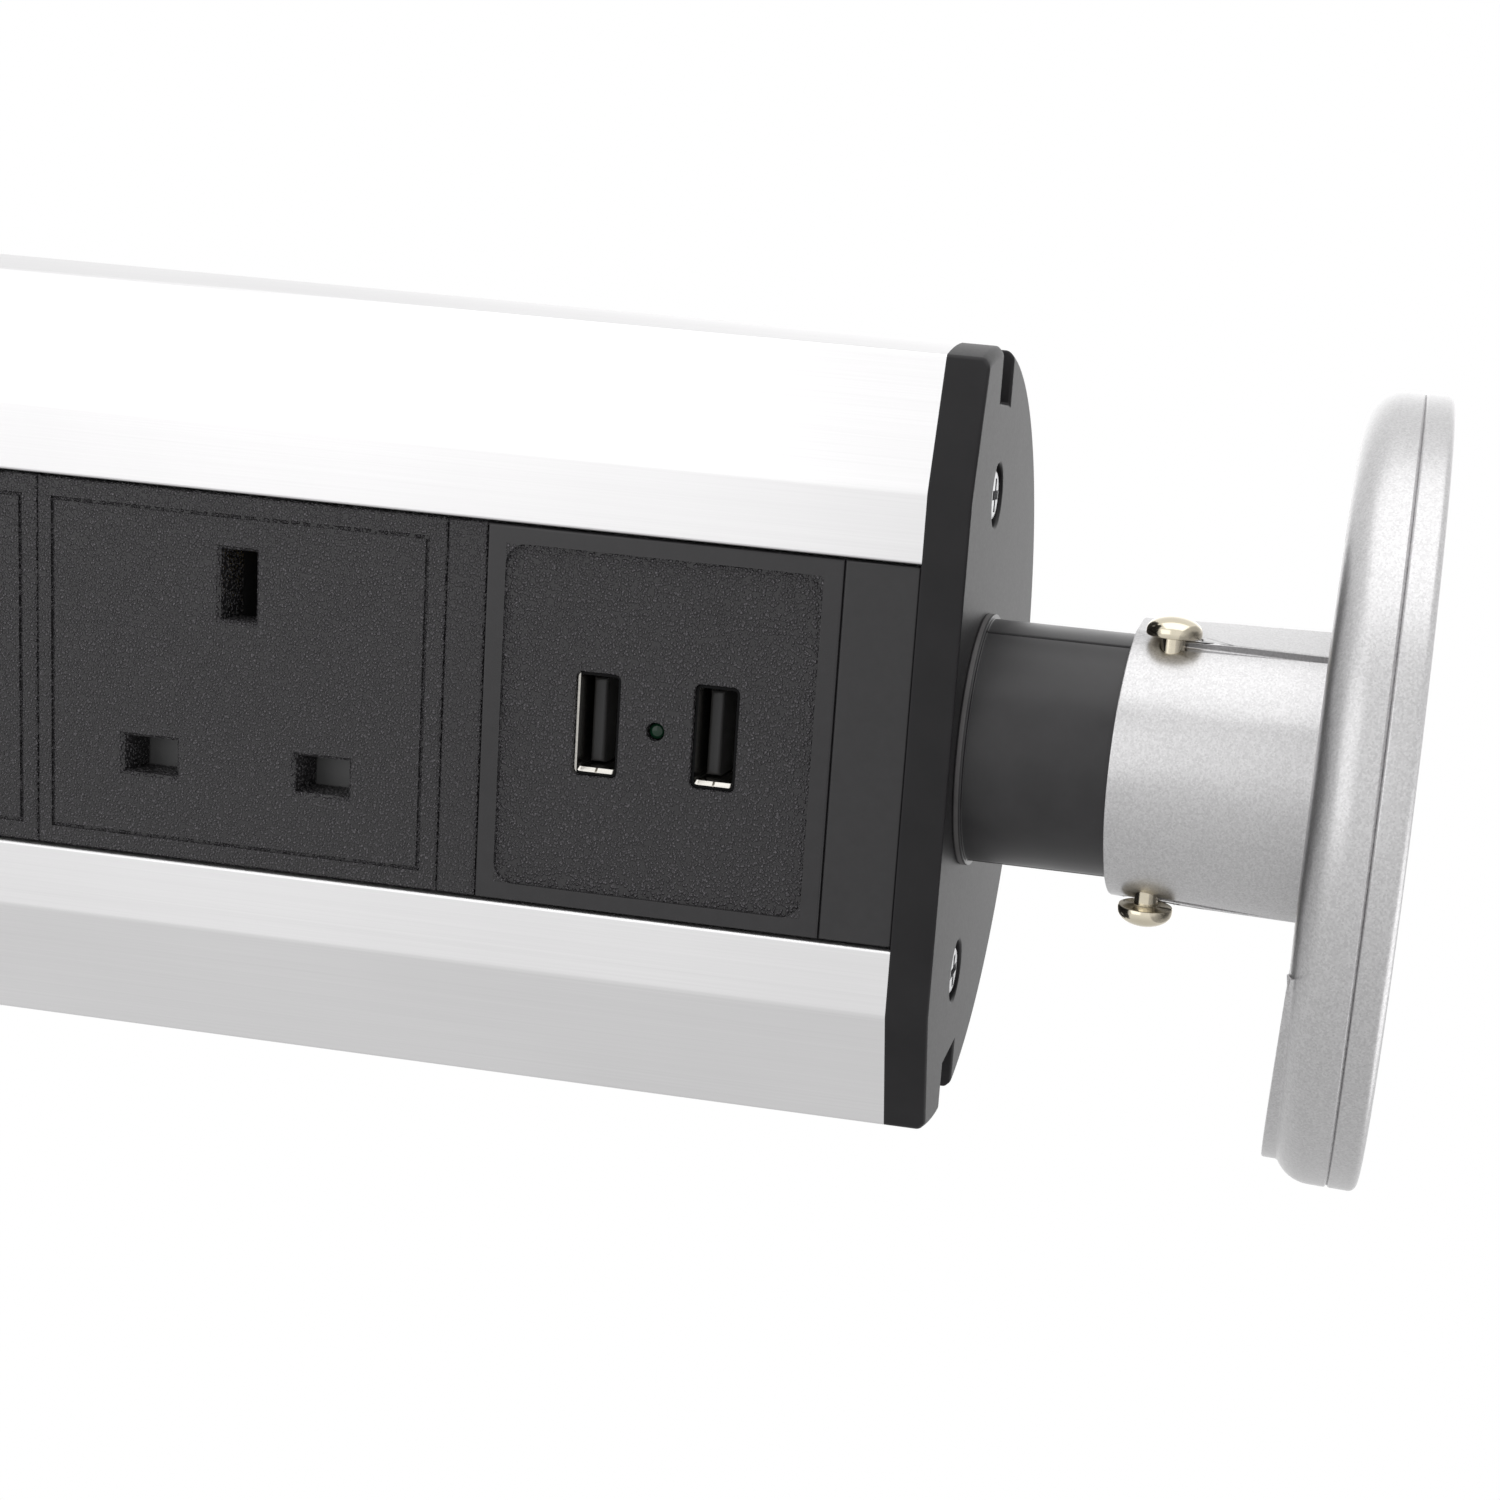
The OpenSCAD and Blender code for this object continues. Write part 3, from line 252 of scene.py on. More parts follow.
ring_metal = finish("ring_metal", Metallic=1.0)
lathe_lines = ring_metal.noise(1.0, 2.0, ring_metal.at(scale=(900, 900, 4000)))
ring_metal.feed("Base Color", ring_metal.blend(lathe_lines, (0.6, 0.6, 0.605), (0.74, 0.74, 0.745)))
ring_metal.feed("Roughness", 0.28 + 0.15 * lathe_lines)
ring_metal.feed("Normal", ring_metal.bump(lathe_lines, 0.02 * MM, 0.3))
print("aluminium finishes:", list(finishes))

# %% [markdown]
# ## Silver paint
# The lid and its collar are sprayed with silver paint: aluminium flakes under a thin lacquer. Small
# Voronoi cells stand for the flakes, each with a brightness of its own, and a slow noise gives the
# faint orange peel of a sprayed coat.

# %% Metallic paint
paint = finish("silver_paint", Metallic=0.9, Coat_Weight=0.2, Coat_Roughness=0.15)
flake_cells = paint.node("TexVoronoi", None, {"Vector": paint.at(), "Scale": 5200.0}, out="Color")
flake = paint.node("SeparateColor", None, {0: flake_cells})
grit = paint.noise(3600.0, 3.0)
peel = paint.noise(420.0, 2.0)
sparkle = paint.ramp(0.5 * flake + 0.5 * grit, (0.1, 0.0), (0.9, 1.0))
paint.feed("Base Color", paint.blend(sparkle, (0.47, 0.465, 0.47), (0.66, 0.655, 0.66)))
paint.feed("Roughness", 0.27 + 0.14 * grit)
fine = paint.bump(flake, 0.02 * MM, 0.4)
paint.feed("Normal", paint.bump(peel, 0.05 * MM, 0.25, fine))

# %% [markdown]
# ## Black mouldings
# The front modules are moulded in black plastic. The sockets and the charger's inset are etched with a
# leather grain: rounded pebbles with creases between them. Smooth Voronoi cells bent by noise give that,
# as a bump and as a painted sheen: the pebble tops are painted lighter. The spacer has the same grain,
# but worn shallow. The charger's frame and the blanks are satin.

# %% Grain and satin
SATIN = 0.32
GRAIN_BEND = 0.4 * MM
GRAIN_DEPTH = 0.5 * MM
GRAINED = ((0.016, 0.015, 0.0165), (0.2, 0.19, 0.205))


def pebbles(black):
    bend = black.node("TexNoise", None, {"Vector": black.at(), "Scale": 1800.0, "Detail": 2.0},
                      out="Color")
    where = black.node("VectorMath", {"operation": "MULTIPLY_ADD"},
                       {0: bend, 1: (GRAIN_BEND, GRAIN_BEND, GRAIN_BEND), 2: black.at()})
    cells = black.node("TexVoronoi", {"feature": "SMOOTH_F1"},
                       {"Vector": where, "Scale": 2500.0, "Smoothness": 0.2})
    return black.ramp(cells, (0.15, 1.0), (0.6, 0.0))


def everywhere(black):
    return 1.0


def worn_shallow(black):
    return 0.6


def black_moulding(name, colour, dust_and_sheen, grain_mask=None):
    black = finish(name)
    dust = black.noise(700.0, 4.0)
    speck = black.bump(black.noise(6000.0, 2.0), 0.02 * MM, 0.3)
    tone = 0.2 * dust + 0.2 * black.worn_edge(0.2 * MM)
    if grain_mask is None:
        black.feed("Normal", speck)
    else:
        grain_and_sheen = pebbles(black) * grain_mask(black)
        # The pebble tops are painted lighter in the base colour: a painted sheen over the real bump.
        tone = 0.4 * tone + 0.85 * grain_and_sheen
        black.feed("Normal", black.bump(grain_and_sheen, GRAIN_DEPTH, 1.0, speck))
    black.feed("Base Color", black.blend(tone, colour, dust_and_sheen))
    black.feed("Roughness", SATIN + 0.12 * dust)


black_moulding("socket_black", *GRAINED, everywhere)
black_moulding("spacer_black", (0.015, 0.014, 0.0155), (0.18, 0.17, 0.185), worn_shallow)
black_moulding("smooth_black", (0.018, 0.0172, 0.0185), (0.08, 0.077, 0.082))
print("black mouldings:", [name for name in finishes if "black" in name])

# %% [markdown]
# The charger's front has both: satin on the frame, grain inside the inset. The inset's rectangle is
# known from the CAD box of the plate, so a mask on Object coordinates splits the two.

# %% Charger front
plate_low, plate_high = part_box("usb_panel")
plate_mid = (plate_low + plate_high) / 2
INSET_HALF_X = 20.6 * MM
INSET_HALF_Z = 19.1 * MM


def inside_inset(black):
    across, _, along_tower = black.axes()
    within_width = abs(across - plate_mid.x) < INSET_HALF_X
    within_length = abs(along_tower - plate_mid.z) < INSET_HALF_Z
    return within_width * within_length


black_moulding("charger_black", *GRAINED, inside_inset)
print("charger inset centred at z", round(plate_mid.z, 4))

# %% [markdown]
# ## The black cap and neck
# The end cap is cast and sprayed matt black, and its face has a fine even tooth that turns it grey
# where light skims over it. The neck is turned and satin black, with rings from the lathe, and a thin
# line where its foot meets the cap is painted light grey: a painted highlight.

# %% Matt cap, satin neck
DEEP_BLACK = (0.014, 0.0135, 0.0145)
HIGHLIGHT_FROM = 0.2 * MM
HIGHLIGHT_TO = 0.7 * MM
cap_black = finish("black_cap", Specular_IOR_Level=0.22)
tooth = cap_black.noise(2600.0, 4.0)
cloud = cap_black.noise(160.0, 3.0)
edge = cap_black.worn_edge(0.5 * MM)
cap_tone = 0.35 * edge + 0.4 * cloud
cap_black.feed("Base Color", cap_black.blend(cap_tone, DEEP_BLACK, (0.05, 0.048, 0.051)))
cap_black.feed("Roughness", 0.4 + 0.1 * tooth)
cap_black.feed("Normal", cap_black.bump(tooth, 0.02 * MM, 0.3))

neck_black = finish("black_metal")
turned = neck_black.noise(1.0, 2.0, neck_black.at(scale=(60, 60, 4200)))
smear = neck_black.noise(220.0, 3.0)
_, _, height = neck_black.axes()
neck_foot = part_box("top_cap")[1].z
# A thin band just above the cap is painted light grey: a painted highlight.
highlight_band = (height > neck_foot + HIGHLIGHT_FROM) * (height < neck_foot + HIGHLIGHT_TO)
satin = neck_black.blend(smear, DEEP_BLACK, (0.04, 0.038, 0.041))
painted_highlight = highlight_band * (0.5 + 0.5 * smear)
neck_black.feed("Base Color", neck_black.blend(painted_highlight, satin, (0.22, 0.21, 0.21)))
neck_black.feed("Roughness", 0.3 + 0.12 * smear)
neck_black.feed("Normal", neck_black.bump(turned, 0.02 * MM, 0.3))

# %% [markdown]
# ## Small metal
# Pins, screws, contacts and springs are bright or plated metals. One recipe serves them all: a metal
# colour, a roughness and fine random scratches at a scale of their own.


# %% Plated and bare metals
def scratches(metal, scale):
    return metal.noise(1.0, 3.0, metal.at(scale=(scale, scale * 0.3, scale * 0.08)))


def small_metal(name, dark, light, rough, scratch_scale):
    metal = finish(name, Metallic=1.0)
    scratch = scratches(metal, scratch_scale)
    tarnish = metal.noise(350.0, 3.0)
    metal.feed("Base Color", metal.blend(0.7 * tarnish + 0.3 * scratch, dark, light))
    metal.feed("Roughness", rough + 0.1 * scratch)
    metal.feed("Normal", metal.bump(scratch, 0.01 * MM, 0.3))


small_metal("steel", (0.36, 0.36, 0.37), (0.58, 0.58, 0.59), 0.26, 3000)
small_metal("pin_steel", (0.6, 0.54, 0.42), (0.82, 0.76, 0.62), 0.1, 2500)
small_metal("contact_brass", (0.68, 0.5, 0.2), (0.88, 0.68, 0.32), 0.22, 2600)
small_metal("spring_steel", (0.55, 0.5, 0.38), (0.75, 0.7, 0.55), 0.24, 3500)
print("metals done:", len(finishes), "finishes so far")

# %% [markdown]
# The port shells are folded from plated sheet, and the plating is bright. The edge of the sheet that
# faces the front is painted near black as shade, and made dull by a higher roughness. The edge lies in
# one plane, so a test on Y finds it. One long edge of the first shell is left out of the painted shade.

# %% Plated sheet
WALL = 0.3 * MM
FLUSH = 0.03 * MM
port_steel = finish("port_steel", Metallic=1.0)
scratch = scratches(port_steel, 4000)
_, inward, along_tower = port_steel.axes()
first_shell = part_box("usb_shell_1")[0]
# The front edge is painted near black: painted shade. The first shell's low rim is left out of it.
unshaded_rim = along_tower < first_shell.z + WALL
painted_shade_edge = (inward < first_shell.y + FLUSH) * (1.0 - unshaded_rim)
plating_and_shade = (1.0 - painted_shade_edge) * (0.6 + 0.4 * scratch)
port_steel.feed("Base Color", port_steel.blend(plating_and_shade, (0.012, 0.012, 0.0125), (0.62, 0.6, 0.56)))
port_steel.feed("Roughness", 0.16 + 0.08 * scratch + 0.4 * painted_shade_edge)
port_steel.feed("Normal", port_steel.bump(scratch, 0.01 * MM, 0.25))

# %% [markdown]
# ## Plain mouldings, rubber and inner parts
# What sits behind the front or under the worktop is matt plastic, rubber or insulation. Each gets a
# mottled colour, an uneven roughness and a fine bump, so that it reads as a moulded thing. The last
# number of each is the depth of its bump in millimetres.


# %% Mouldings by one recipe
def moulded(name, dark, light, rough, bump_scale, depth, **constants):
    plastic = finish(name, **constants)
    mottle = plastic.noise(240.0, 4.0)
    skin = plastic.noise(bump_scale, 3.0)
    lift = plastic.worn_edge(0.3 * MM)
    plastic.feed("Base Color", plastic.blend(0.6 * mottle + 0.4 * lift, dark, light))
    plastic.feed("Roughness", rough + 0.16 * mottle)
    plastic.feed("Normal", plastic.bump(skin, depth * MM, 0.4))


moulded("dark_moulding", (0.022, 0.022, 0.023), (0.06, 0.06, 0.062), 0.42, 2200.0, 0.03)
moulded("sleeve_plastic", (0.055, 0.055, 0.056), (0.13, 0.13, 0.132), 0.45, 1600.0, 0.05)
moulded("grey_plastic", (0.16, 0.16, 0.162), (0.26, 0.26, 0.262), 0.4, 2400.0, 0.02)
moulded("pad_rubber", (0.13, 0.07, 0.04), (0.26, 0.16, 0.1), 0.7, 1400.0, 0.08)
moulded("board_green", (0.01, 0.12, 0.045), (0.03, 0.22, 0.09), 0.32, 1800.0, 0.02, Coat_Weight=0.3)
moulded("transformer_tape", (0.6, 0.48, 0.14), (0.8, 0.7, 0.3), 0.35, 700.0, 0.06)
moulded("capacitor_sleeve", (0.02, 0.02, 0.07), (0.05, 0.05, 0.14), 0.2, 900.0, 0.02, Coat_Weight=0.4)
moulded("terminal_white", (0.72, 0.72, 0.69), (0.86, 0.86, 0.84), 0.45, 2000.0, 0.03)
moulded("lead_brown", (0.17, 0.06, 0.02), (0.28, 0.12, 0.05), 0.38, 900.0, 0.04)
moulded("lead_blue", (0.03, 0.1, 0.4), (0.07, 0.19, 0.58), 0.38, 900.0, 0.04)
moulded("lead_green", (0.2, 0.4, 0.04), (0.55, 0.6, 0.1), 0.38, 900.0, 0.04)
moulded("led_green", (0.002, 0.02, 0.009), (0.008, 0.06, 0.026), 0.04, 1200.0, 0.01,
        Specular_IOR_Level=0.35)

# %% [markdown]
# ## Dressing the solids
# Each solid has a material slot, and most slots have one finish of the same name. The black plastic of
# the front has one slot but several looks, and the tongues of the ports are darker than the other grey
# mouldings, so those pieces are named here.

# %% Dress the CAD nodes
OWN_FINISH = {"spacer": "spacer_black", "upper_blank": "smooth_black", "lower_blank": "smooth_black",
              "usb_panel": "charger_black", "usb_tongue_1": "dark_moulding",
              "usb_tongue_2": "dark_moulding"}
slot_of = {}


def look_of(name):
    return finishes[OWN_FINISH.get(name, slot_of[name])].material


for part in frame["record"]["subparts"]:
    name = part["node"]
    slot_of[name] = part["material_slot"]
    if slot_of[name] == "black_plastic":
        OWN_FINISH.setdefault(name, "socket_black")
    for slot in nodes[name].material_slots:
        slot.material = look_of(name)
print("dressed", len(nodes), "nodes in", len(finishes), "finishes")

# %% [markdown]
# ## Tools for shaping
# A piece is shaped as by hand: alone in edit mode, with some of its edges or faces selected, and one
# operator at a time. Code has no mouse, so it picks edges by where they lie, by their direction or by
# how sharply their two faces meet. A CAD solid arrives as loose triangles, so a copy is merged and its
# flat triangles are joined before its edges are rounded. Places and widths are given to these tools in
# millimetres.

# %% Picking
TOUCH = 0.02
PARALLEL = 0.99


def only(piece):
    bpy.ops.object.select_all(action="DESELECT")
    piece.select_set(True)
    bpy.context.view_layer.objects.active = piece


def pick(piece, kind, wanted):
    only(piece)
    bpy.ops.object.mode_set(mode="EDIT")
    bpy.ops.mesh.select_mode(type=kind)
    bpy.ops.mesh.select_all(action="DESELECT")
    shape = bmesh.from_edit_mesh(piece.data)
    found = [item for item in (shape.edges if kind == "EDGE" else shape.faces) if wanted(item)]
    for item in found:
        item.select_set(True)
    bmesh.update_edit_mesh(piece.data)
    return len(found)


def middle(item):
    return sum((v.co for v in item.verts), Vector()) / len(item.verts) / MM


def out_from_axis(item):
    return middle(item).xy.length


def sharp(edge, degrees):
    return len(edge.link_faces) == 2 and edge.calc_face_angle() > math.radians(degrees)


def runs_along(edge, axis):
    return abs((edge.verts[1].co - edge.verts[0].co).normalized()[axis]) > PARALLEL


# %% Shaping
WELD = 0.002 * MM
FLAT = math.radians(0.4)
SMOOTH_BELOW = math.radians(38)


def merged_copy(name):
    piece = bpy.data.objects.new(name + "_piece", nodes[name].data.copy())
    scene.collection.objects.link(piece)
    only(piece)
    bpy.ops.mesh.customdata_custom_splitnormals_clear()
    bpy.ops.object.mode_set(mode="EDIT")
    bpy.ops.mesh.select_all(action="SELECT")
    bpy.ops.mesh.remove_doubles(threshold=WELD)
    bpy.ops.mesh.dissolve_limited(angle_limit=FLAT)
    bpy.ops.object.mode_set(mode="OBJECT")
    return piece


def soften(piece, width, wanted, segments=3):
    count = pick(piece, "EDGE", wanted)
    bpy.ops.mesh.bevel(offset=width * MM, segments=segments, affect="EDGES")
    bpy.ops.object.mode_set(mode="OBJECT")
    print(piece.name, "edges rounded:", count)


def quarter_turn(count):
    return [math.radians(90 / count * i) for i in range(count + 1)]


def lathe(name, profile, centre, axis, across, steps):
    centre, axis, across = Vector(centre), Vector(axis), Vector(across)
    start = centre + (axis * profile[0][0] + across * profile[0][1]) * MM
    bpy.ops.object.select_all(action="DESELECT")
    bpy.ops.mesh.primitive_plane_add(size=MM, location=start)
    piece = bpy.context.object
    piece.name = name
    bpy.ops.object.transform_apply(location=True, rotation=True, scale=True)
    bpy.ops.object.mode_set(mode="EDIT")
    bpy.ops.mesh.select_mode(type="VERT")
    bpy.ops.mesh.select_all(action="SELECT")
    bpy.ops.mesh.merge(type="CENTER")
    for (along, radius), (next_along, next_radius) in zip(profile, profile[1:]):
        step = (axis * (next_along - along) + across * (next_radius - radius)) * MM
        bpy.ops.mesh.extrude_vertices_move(TRANSFORM_OT_translate={"value": step})
    bpy.ops.mesh.select_all(action="SELECT")
    bpy.ops.mesh.spin(steps=steps, angle=math.tau, center=centre, axis=axis)
    bpy.ops.mesh.select_all(action="SELECT")
    bpy.ops.mesh.remove_doubles(threshold=WELD)
    bpy.ops.mesh.normals_make_consistent(inside=False)
    bpy.ops.object.mode_set(mode="OBJECT")
    return piece


def twin(piece, name, shift):
    only(piece)
    bpy.ops.object.duplicate(linked=False)
    copied = bpy.context.object
    copied.name = name
    bpy.ops.transform.translate(value=shift)
    bpy.ops.object.transform_apply(location=True, rotation=True, scale=True)
    return copied


def mirrored(piece, name, axis, centre):
    copied = twin(piece, name, (0, 0, 0))
    bpy.ops.object.mode_set(mode="EDIT")
    bpy.ops.mesh.select_all(action="SELECT")
    bpy.ops.transform.mirror(constraint_axis=[i == axis for i in range(3)], center_override=centre)
    bpy.ops.mesh.normals_make_consistent(inside=False)
    bpy.ops.object.mode_set(mode="OBJECT")
    return copied


# %% Handing a piece over to its body
def settle(piece, body, name):
    only(piece)
    bpy.ops.object.shade_smooth_by_angle(angle=SMOOTH_BELOW)
    even = piece.modifiers.new("even_shading", "WEIGHTED_NORMAL")
    even.keep_sharp = True
    bpy.ops.object.modifier_apply(modifier=even.name)
    piece.data.materials.clear()
    piece.data.materials.append(look_of(name))
    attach(piece, body)
    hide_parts(name)
    print(piece.name, "rides on", body, "with", len(piece.data.polygons), "faces")


# %% [markdown]
# ## The tower's shell
# The profile is an extrusion: its corners leave the die with a small radius, and the two creases beside
# the front are soft lines. Rebuilding it from curves would only repeat the CAD, so a merged copy keeps
# its shape, and just the edges that run lengthwise on the outside are bevelled.

# %% Profile
EXTRUDED_EDGE = 0.35
FRONT_Y = -19
OUTSIDE_R = 48.6
profile = merged_copy("profile")
soften(profile, EXTRUDED_EDGE, lambda e: runs_along(e, 2) and sharp(e, 9)
       and (middle(e).y < FRONT_Y or out_from_axis(e) > OUTSIDE_R))
settle(profile, "tower", "profile")

# %% [markdown]
# The end cap is a casting with rounded rims, notches and counterbores. All of its upper edges are
# bevelled, so that each rim catches a thin line of light as in the photo. The bottom cap gets a larger
# radius, because a hand meets it when the tower is fitted.

# %% End caps
CAST_EDGE = 0.4
FOOT_EDGE = 0.8
FOOT_RIM_R = 49
profile_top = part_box("top_cap")[0].z / MM
cap = merged_copy("top_cap")
soften(cap, CAST_EDGE, lambda e: sharp(e, 25) and middle(e).z > profile_top + CAST_EDGE)
settle(cap, "tower", "top_cap")
bottom_cap = merged_copy("bottom_cap")
soften(bottom_cap, FOOT_EDGE, lambda e: sharp(e, 60) and out_from_axis(e) > FOOT_RIM_R)
settle(bottom_cap, "tower", "bottom_cap")

# %% [markdown]
# ## Front modules
# The socket plates, the spacer, the blanks and the charger's plate are separate mouldings that butt
# against each other. What makes them read as separate is the small radius round each front: two radii
# side by side give the fine dark seam. Only the rim of the front face is picked for the bevel.

# %% Module fronts
MODULE_EDGE = 0.35
MODULES = ("socket_plate_1", "socket_plate_2", "socket_plate_3", "spacer", "upper_blank", "lower_blank")


def module_front(name):
    low, high = (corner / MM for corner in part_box(name))

    def on_rim(edge):
        ends = [v.co / MM for v in edge.verts]
        if any(abs(p.y - low.y) > TOUCH for p in ends):
            return False
        return any(all(abs(p[axis] - limit[axis]) < TOUCH for p in ends)
                   for axis in (0, 2) for limit in (low, high))

    piece = merged_copy(name)
    soften(piece, MODULE_EDGE, on_rim)
    return piece


for name in MODULES:
    settle(module_front(name), "tower", name)

# %% [markdown]
# The charger's plate also has an inset panel and two openings for the ports. The openings have rounded
# corners where the moulding tool was milled, and their mouths are eased.

# %% Charger plate
INSET_DEPTH = 0.3
MOUTH_EDGE = 0.15
MOUTH_HALF = 6.4
inset_floor = plate_low.y / MM + INSET_DEPTH
charger = module_front("usb_panel")
soften(charger, MOUTH_EDGE, lambda e: sharp(e, 60) and abs(middle(e).y - inset_floor) < TOUCH
       and abs(middle(e).x) < MOUTH_HALF, 2)
settle(charger, "tower", "usb_panel")

# %% [markdown]
# ## USB ports
# A port is a folded steel shell with rounded corners and a thin wall, set a little back in its opening,
# with a black tongue inside. A cube is stretched to the shell's box and its long edges are rounded. Its
# front is inset by the wall and pushed in twice: first a short step that narrows at one end, which gives
# the sloping lip at the mouth, and then to the full depth. The folded sheet meets itself at that lip:
# two cuts with the bisect tool mark a strip there, and the strip is pushed into the wall as a fine slit.

# %% Port shell
FOLD_R = 0.7
LIP = 0.5 * MM
SLIT_HALF = 0.14 * MM
SLIT_DEPTH = 0.9 * WALL
shell_low, shell_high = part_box("usb_shell_1")
shell_mid = (shell_low + shell_high) / 2
bpy.ops.object.select_all(action="DESELECT")
bpy.ops.mesh.primitive_cube_add(size=1, location=shell_mid, scale=shell_high - shell_low)
shell = bpy.context.object
shell.name = "port_shell_1"
bpy.ops.object.transform_apply(location=True, rotation=True, scale=True)
soften(shell, FOLD_R, lambda e: runs_along(e, 1), 4)
pick(shell, "FACE", lambda f: f.normal.y < -PARALLEL)
bpy.ops.mesh.inset(thickness=WALL)
bpy.ops.mesh.extrude_region_move(TRANSFORM_OT_translate={"value": (0, LIP, 0)})
mouth_start = shell_low.x + WALL
mouth_length = shell_high.x - shell_low.x - 2 * WALL
bpy.ops.transform.resize(value=(1 - LIP / mouth_length, 1, 1),
                         center_override=(mouth_start, 0, shell_mid.z))
depth = shell_high.y - shell_low.y - WALL - LIP
bpy.ops.mesh.extrude_region_move(TRANSFORM_OT_translate={"value": (0, depth, 0)})
bpy.ops.object.mode_set(mode="OBJECT")
print(shell.name, "faces:", len(shell.data.polygons))


# %% Slit in the lip
def on_lip(face):
    return face.normal.x < -0.5 and face.normal.y < -0.5 and abs(face.normal.z) < 0.05


for side in (-1, 1):
    pick(shell, "FACE", on_lip)
    bpy.ops.mesh.bisect(plane_co=shell_mid + Vector((0, 0, side * SLIT_HALF)), plane_no=(0, 0, 1))
    bpy.ops.object.mode_set(mode="OBJECT")
strips = pick(shell, "FACE",
              lambda f: on_lip(f) and abs(middle(f).z * MM - shell_mid.z) < SLIT_HALF)
bpy.ops.mesh.extrude_region_move(TRANSFORM_OT_translate={"value": (SLIT_DEPTH, SLIT_DEPTH, 0)})
bpy.ops.object.mode_set(mode="OBJECT")
print("slits pushed in:", strips)
port_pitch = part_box("usb_shell_2")[0].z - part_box("usb_shell_1")[0].z
second_shell = twin(shell, "port_shell_2", (0, 0, port_pitch))
settle(shell, "tower", "usb_shell_1")
settle(second_shell, "tower", "usb_shell_2")

# %% Tongues
TONGUE_EDGE = 0.5
tongue_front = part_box("usb_tongue_1")[0].y / MM
tongue = merged_copy("usb_tongue_1")
tongue.name = "port_tongue_1"
soften(tongue, TONGUE_EDGE, lambda e: sharp(e, 60) and middle(e).y < tongue_front + TOUCH)
second_tongue = twin(tongue, "port_tongue_2", (0, 0, port_pitch))
settle(tongue, "tower", "usb_tongue_1")
settle(second_tongue, "tower", "usb_tongue_2")

# %% [markdown]
# Behind each socket a bent leaf spring pushes the shutter shut. When the shutter slides, the leaf is
# pressed flat against its post. Each spring here is a merged copy of its solid, with a mesh of its own.

# %% Shutter springs
for number in (1, 2, 3):
    leaf_name = f"shutter_spring_{number}"
    leaf = merged_copy(leaf_name)
    leaf.name = f"shutter_leaf_{number}"
    settle(leaf, "tower", leaf_name)
    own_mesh(leaf)

# %% [markdown]
# The indicator between the ports is a small clear lens with a dome. It is turned on a lathe here: one
# vertex is extruded along half of the outline, and the outline is spun round the axis.

# %% Indicator lens
LENS_BACK = 0.5 * MM
LENS_LENGTH = 6
DOME_H = 0.55
lens_low, lens_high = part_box("usb_led")
lens_top = Vector((0, lens_low.y + LENS_BACK, (lens_low.z + lens_high.z) / 2))
lens_r = (lens_high.z - lens_low.z) / 2 / MM
outline = [(DOME_H * (1 - math.cos(a)), lens_r * math.sin(a)) for a in quarter_turn(6)]
outline += [(LENS_LENGTH, lens_r), (LENS_LENGTH, 0)]
lens = lathe("indicator_lens", outline, lens_top, (0, 1, 0), (0, 0, 1), 32)
settle(lens, "tower", "usb_led")

# %% [markdown]
# ## Screws
# The four end screws are pan heads with a cross. The CAD has the head as a plain disc with the cross cut
# in it, so the top of a copy is raised into a crown and its rim is rounded. The other screws are its
# copies, and those at the foot are mirrored about the middle of the profile.

# %% Cap screws
CROWN = 1.4
CROWN_EDGE = 1.1
CROSS_R = 3.3


def screw_axis(name):
    low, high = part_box(name)
    return (low + high) / 2 / MM


head_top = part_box("top_screw_1")[1].z / MM
screw_mid = screw_axis("top_screw_1")
screw = merged_copy("top_screw_1")
screw.name = "cap_screw_1"
pick(screw, "FACE", lambda f: f.normal.z > PARALLEL and abs(middle(f).z - head_top) < TOUCH)
bpy.ops.mesh.extrude_region_move(TRANSFORM_OT_translate={"value": (0, 0, CROWN * MM)})
bpy.ops.object.mode_set(mode="OBJECT")
soften(screw, CROWN_EDGE, lambda e: sharp(e, 60) and abs(middle(e).z - head_top - CROWN) < TOUCH
       and (middle(e) - screw_mid).xy.length > CROSS_R, 5)
screw_pitch = screw_axis("top_screw_2").x - screw_mid.x
second_screw = twin(screw, "cap_screw_2", (screw_pitch * MM, 0, 0))
profile_low, profile_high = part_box("profile")
for i, made in enumerate((screw, second_screw), 1):
    below = mirrored(made, f"foot_screw_{i}", 2, (profile_low + profile_high) / 2)
    settle(below, "tower", f"bottom_screw_{i}")
    settle(made, "tower", f"top_screw_{i}")

# %% [markdown]
# ## The neck
# The neck is turned from bar, with a small ring at its foot, and two fine seams run up its sides. Its
# edges are broken by the lathe, so every sharp outer edge gets a narrow bevel.

# %% Neck
TURNED_EDGE = 0.12
NECK_SKIN_R = 14.6
neck = merged_copy("neck")
soften(neck, TURNED_EDGE, lambda e: sharp(e, 40) and out_from_axis(e) > NECK_SKIN_R, 2)
settle(neck, "tower", "neck")

# %% [markdown]
# ## The lid
# The lid is cast in one with its collar and sprayed. It stands on its two pins and leans five degrees
# towards the sockets, so places on it are easier to name in its own level frame: the matrix `level`
# takes a point back there. The large rounding is in the solid already. Rims, flats, slots and the pin
# seats get the small radius that a coat of paint leaves.

# %% Lid and collar
pin_low, pin_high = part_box("hinge_pin_2")
HINGE = Vector((0, (pin_low.y + pin_high.y) / 2, (pin_low.z + pin_high.z) / 2))
LEAN = math.radians(5)
PAINTED_EDGE = 0.25
LID_SKIN_R = 16.9
BELOW_SEAM_Z = 276
lean = Matrix.Translation(HINGE) @ Matrix.Rotation(LEAN, 4, "X") @ Matrix.Translation(-HINGE)
level = lean.inverted()


def levelled(edge):
    return level @ (middle(edge) * MM) / MM


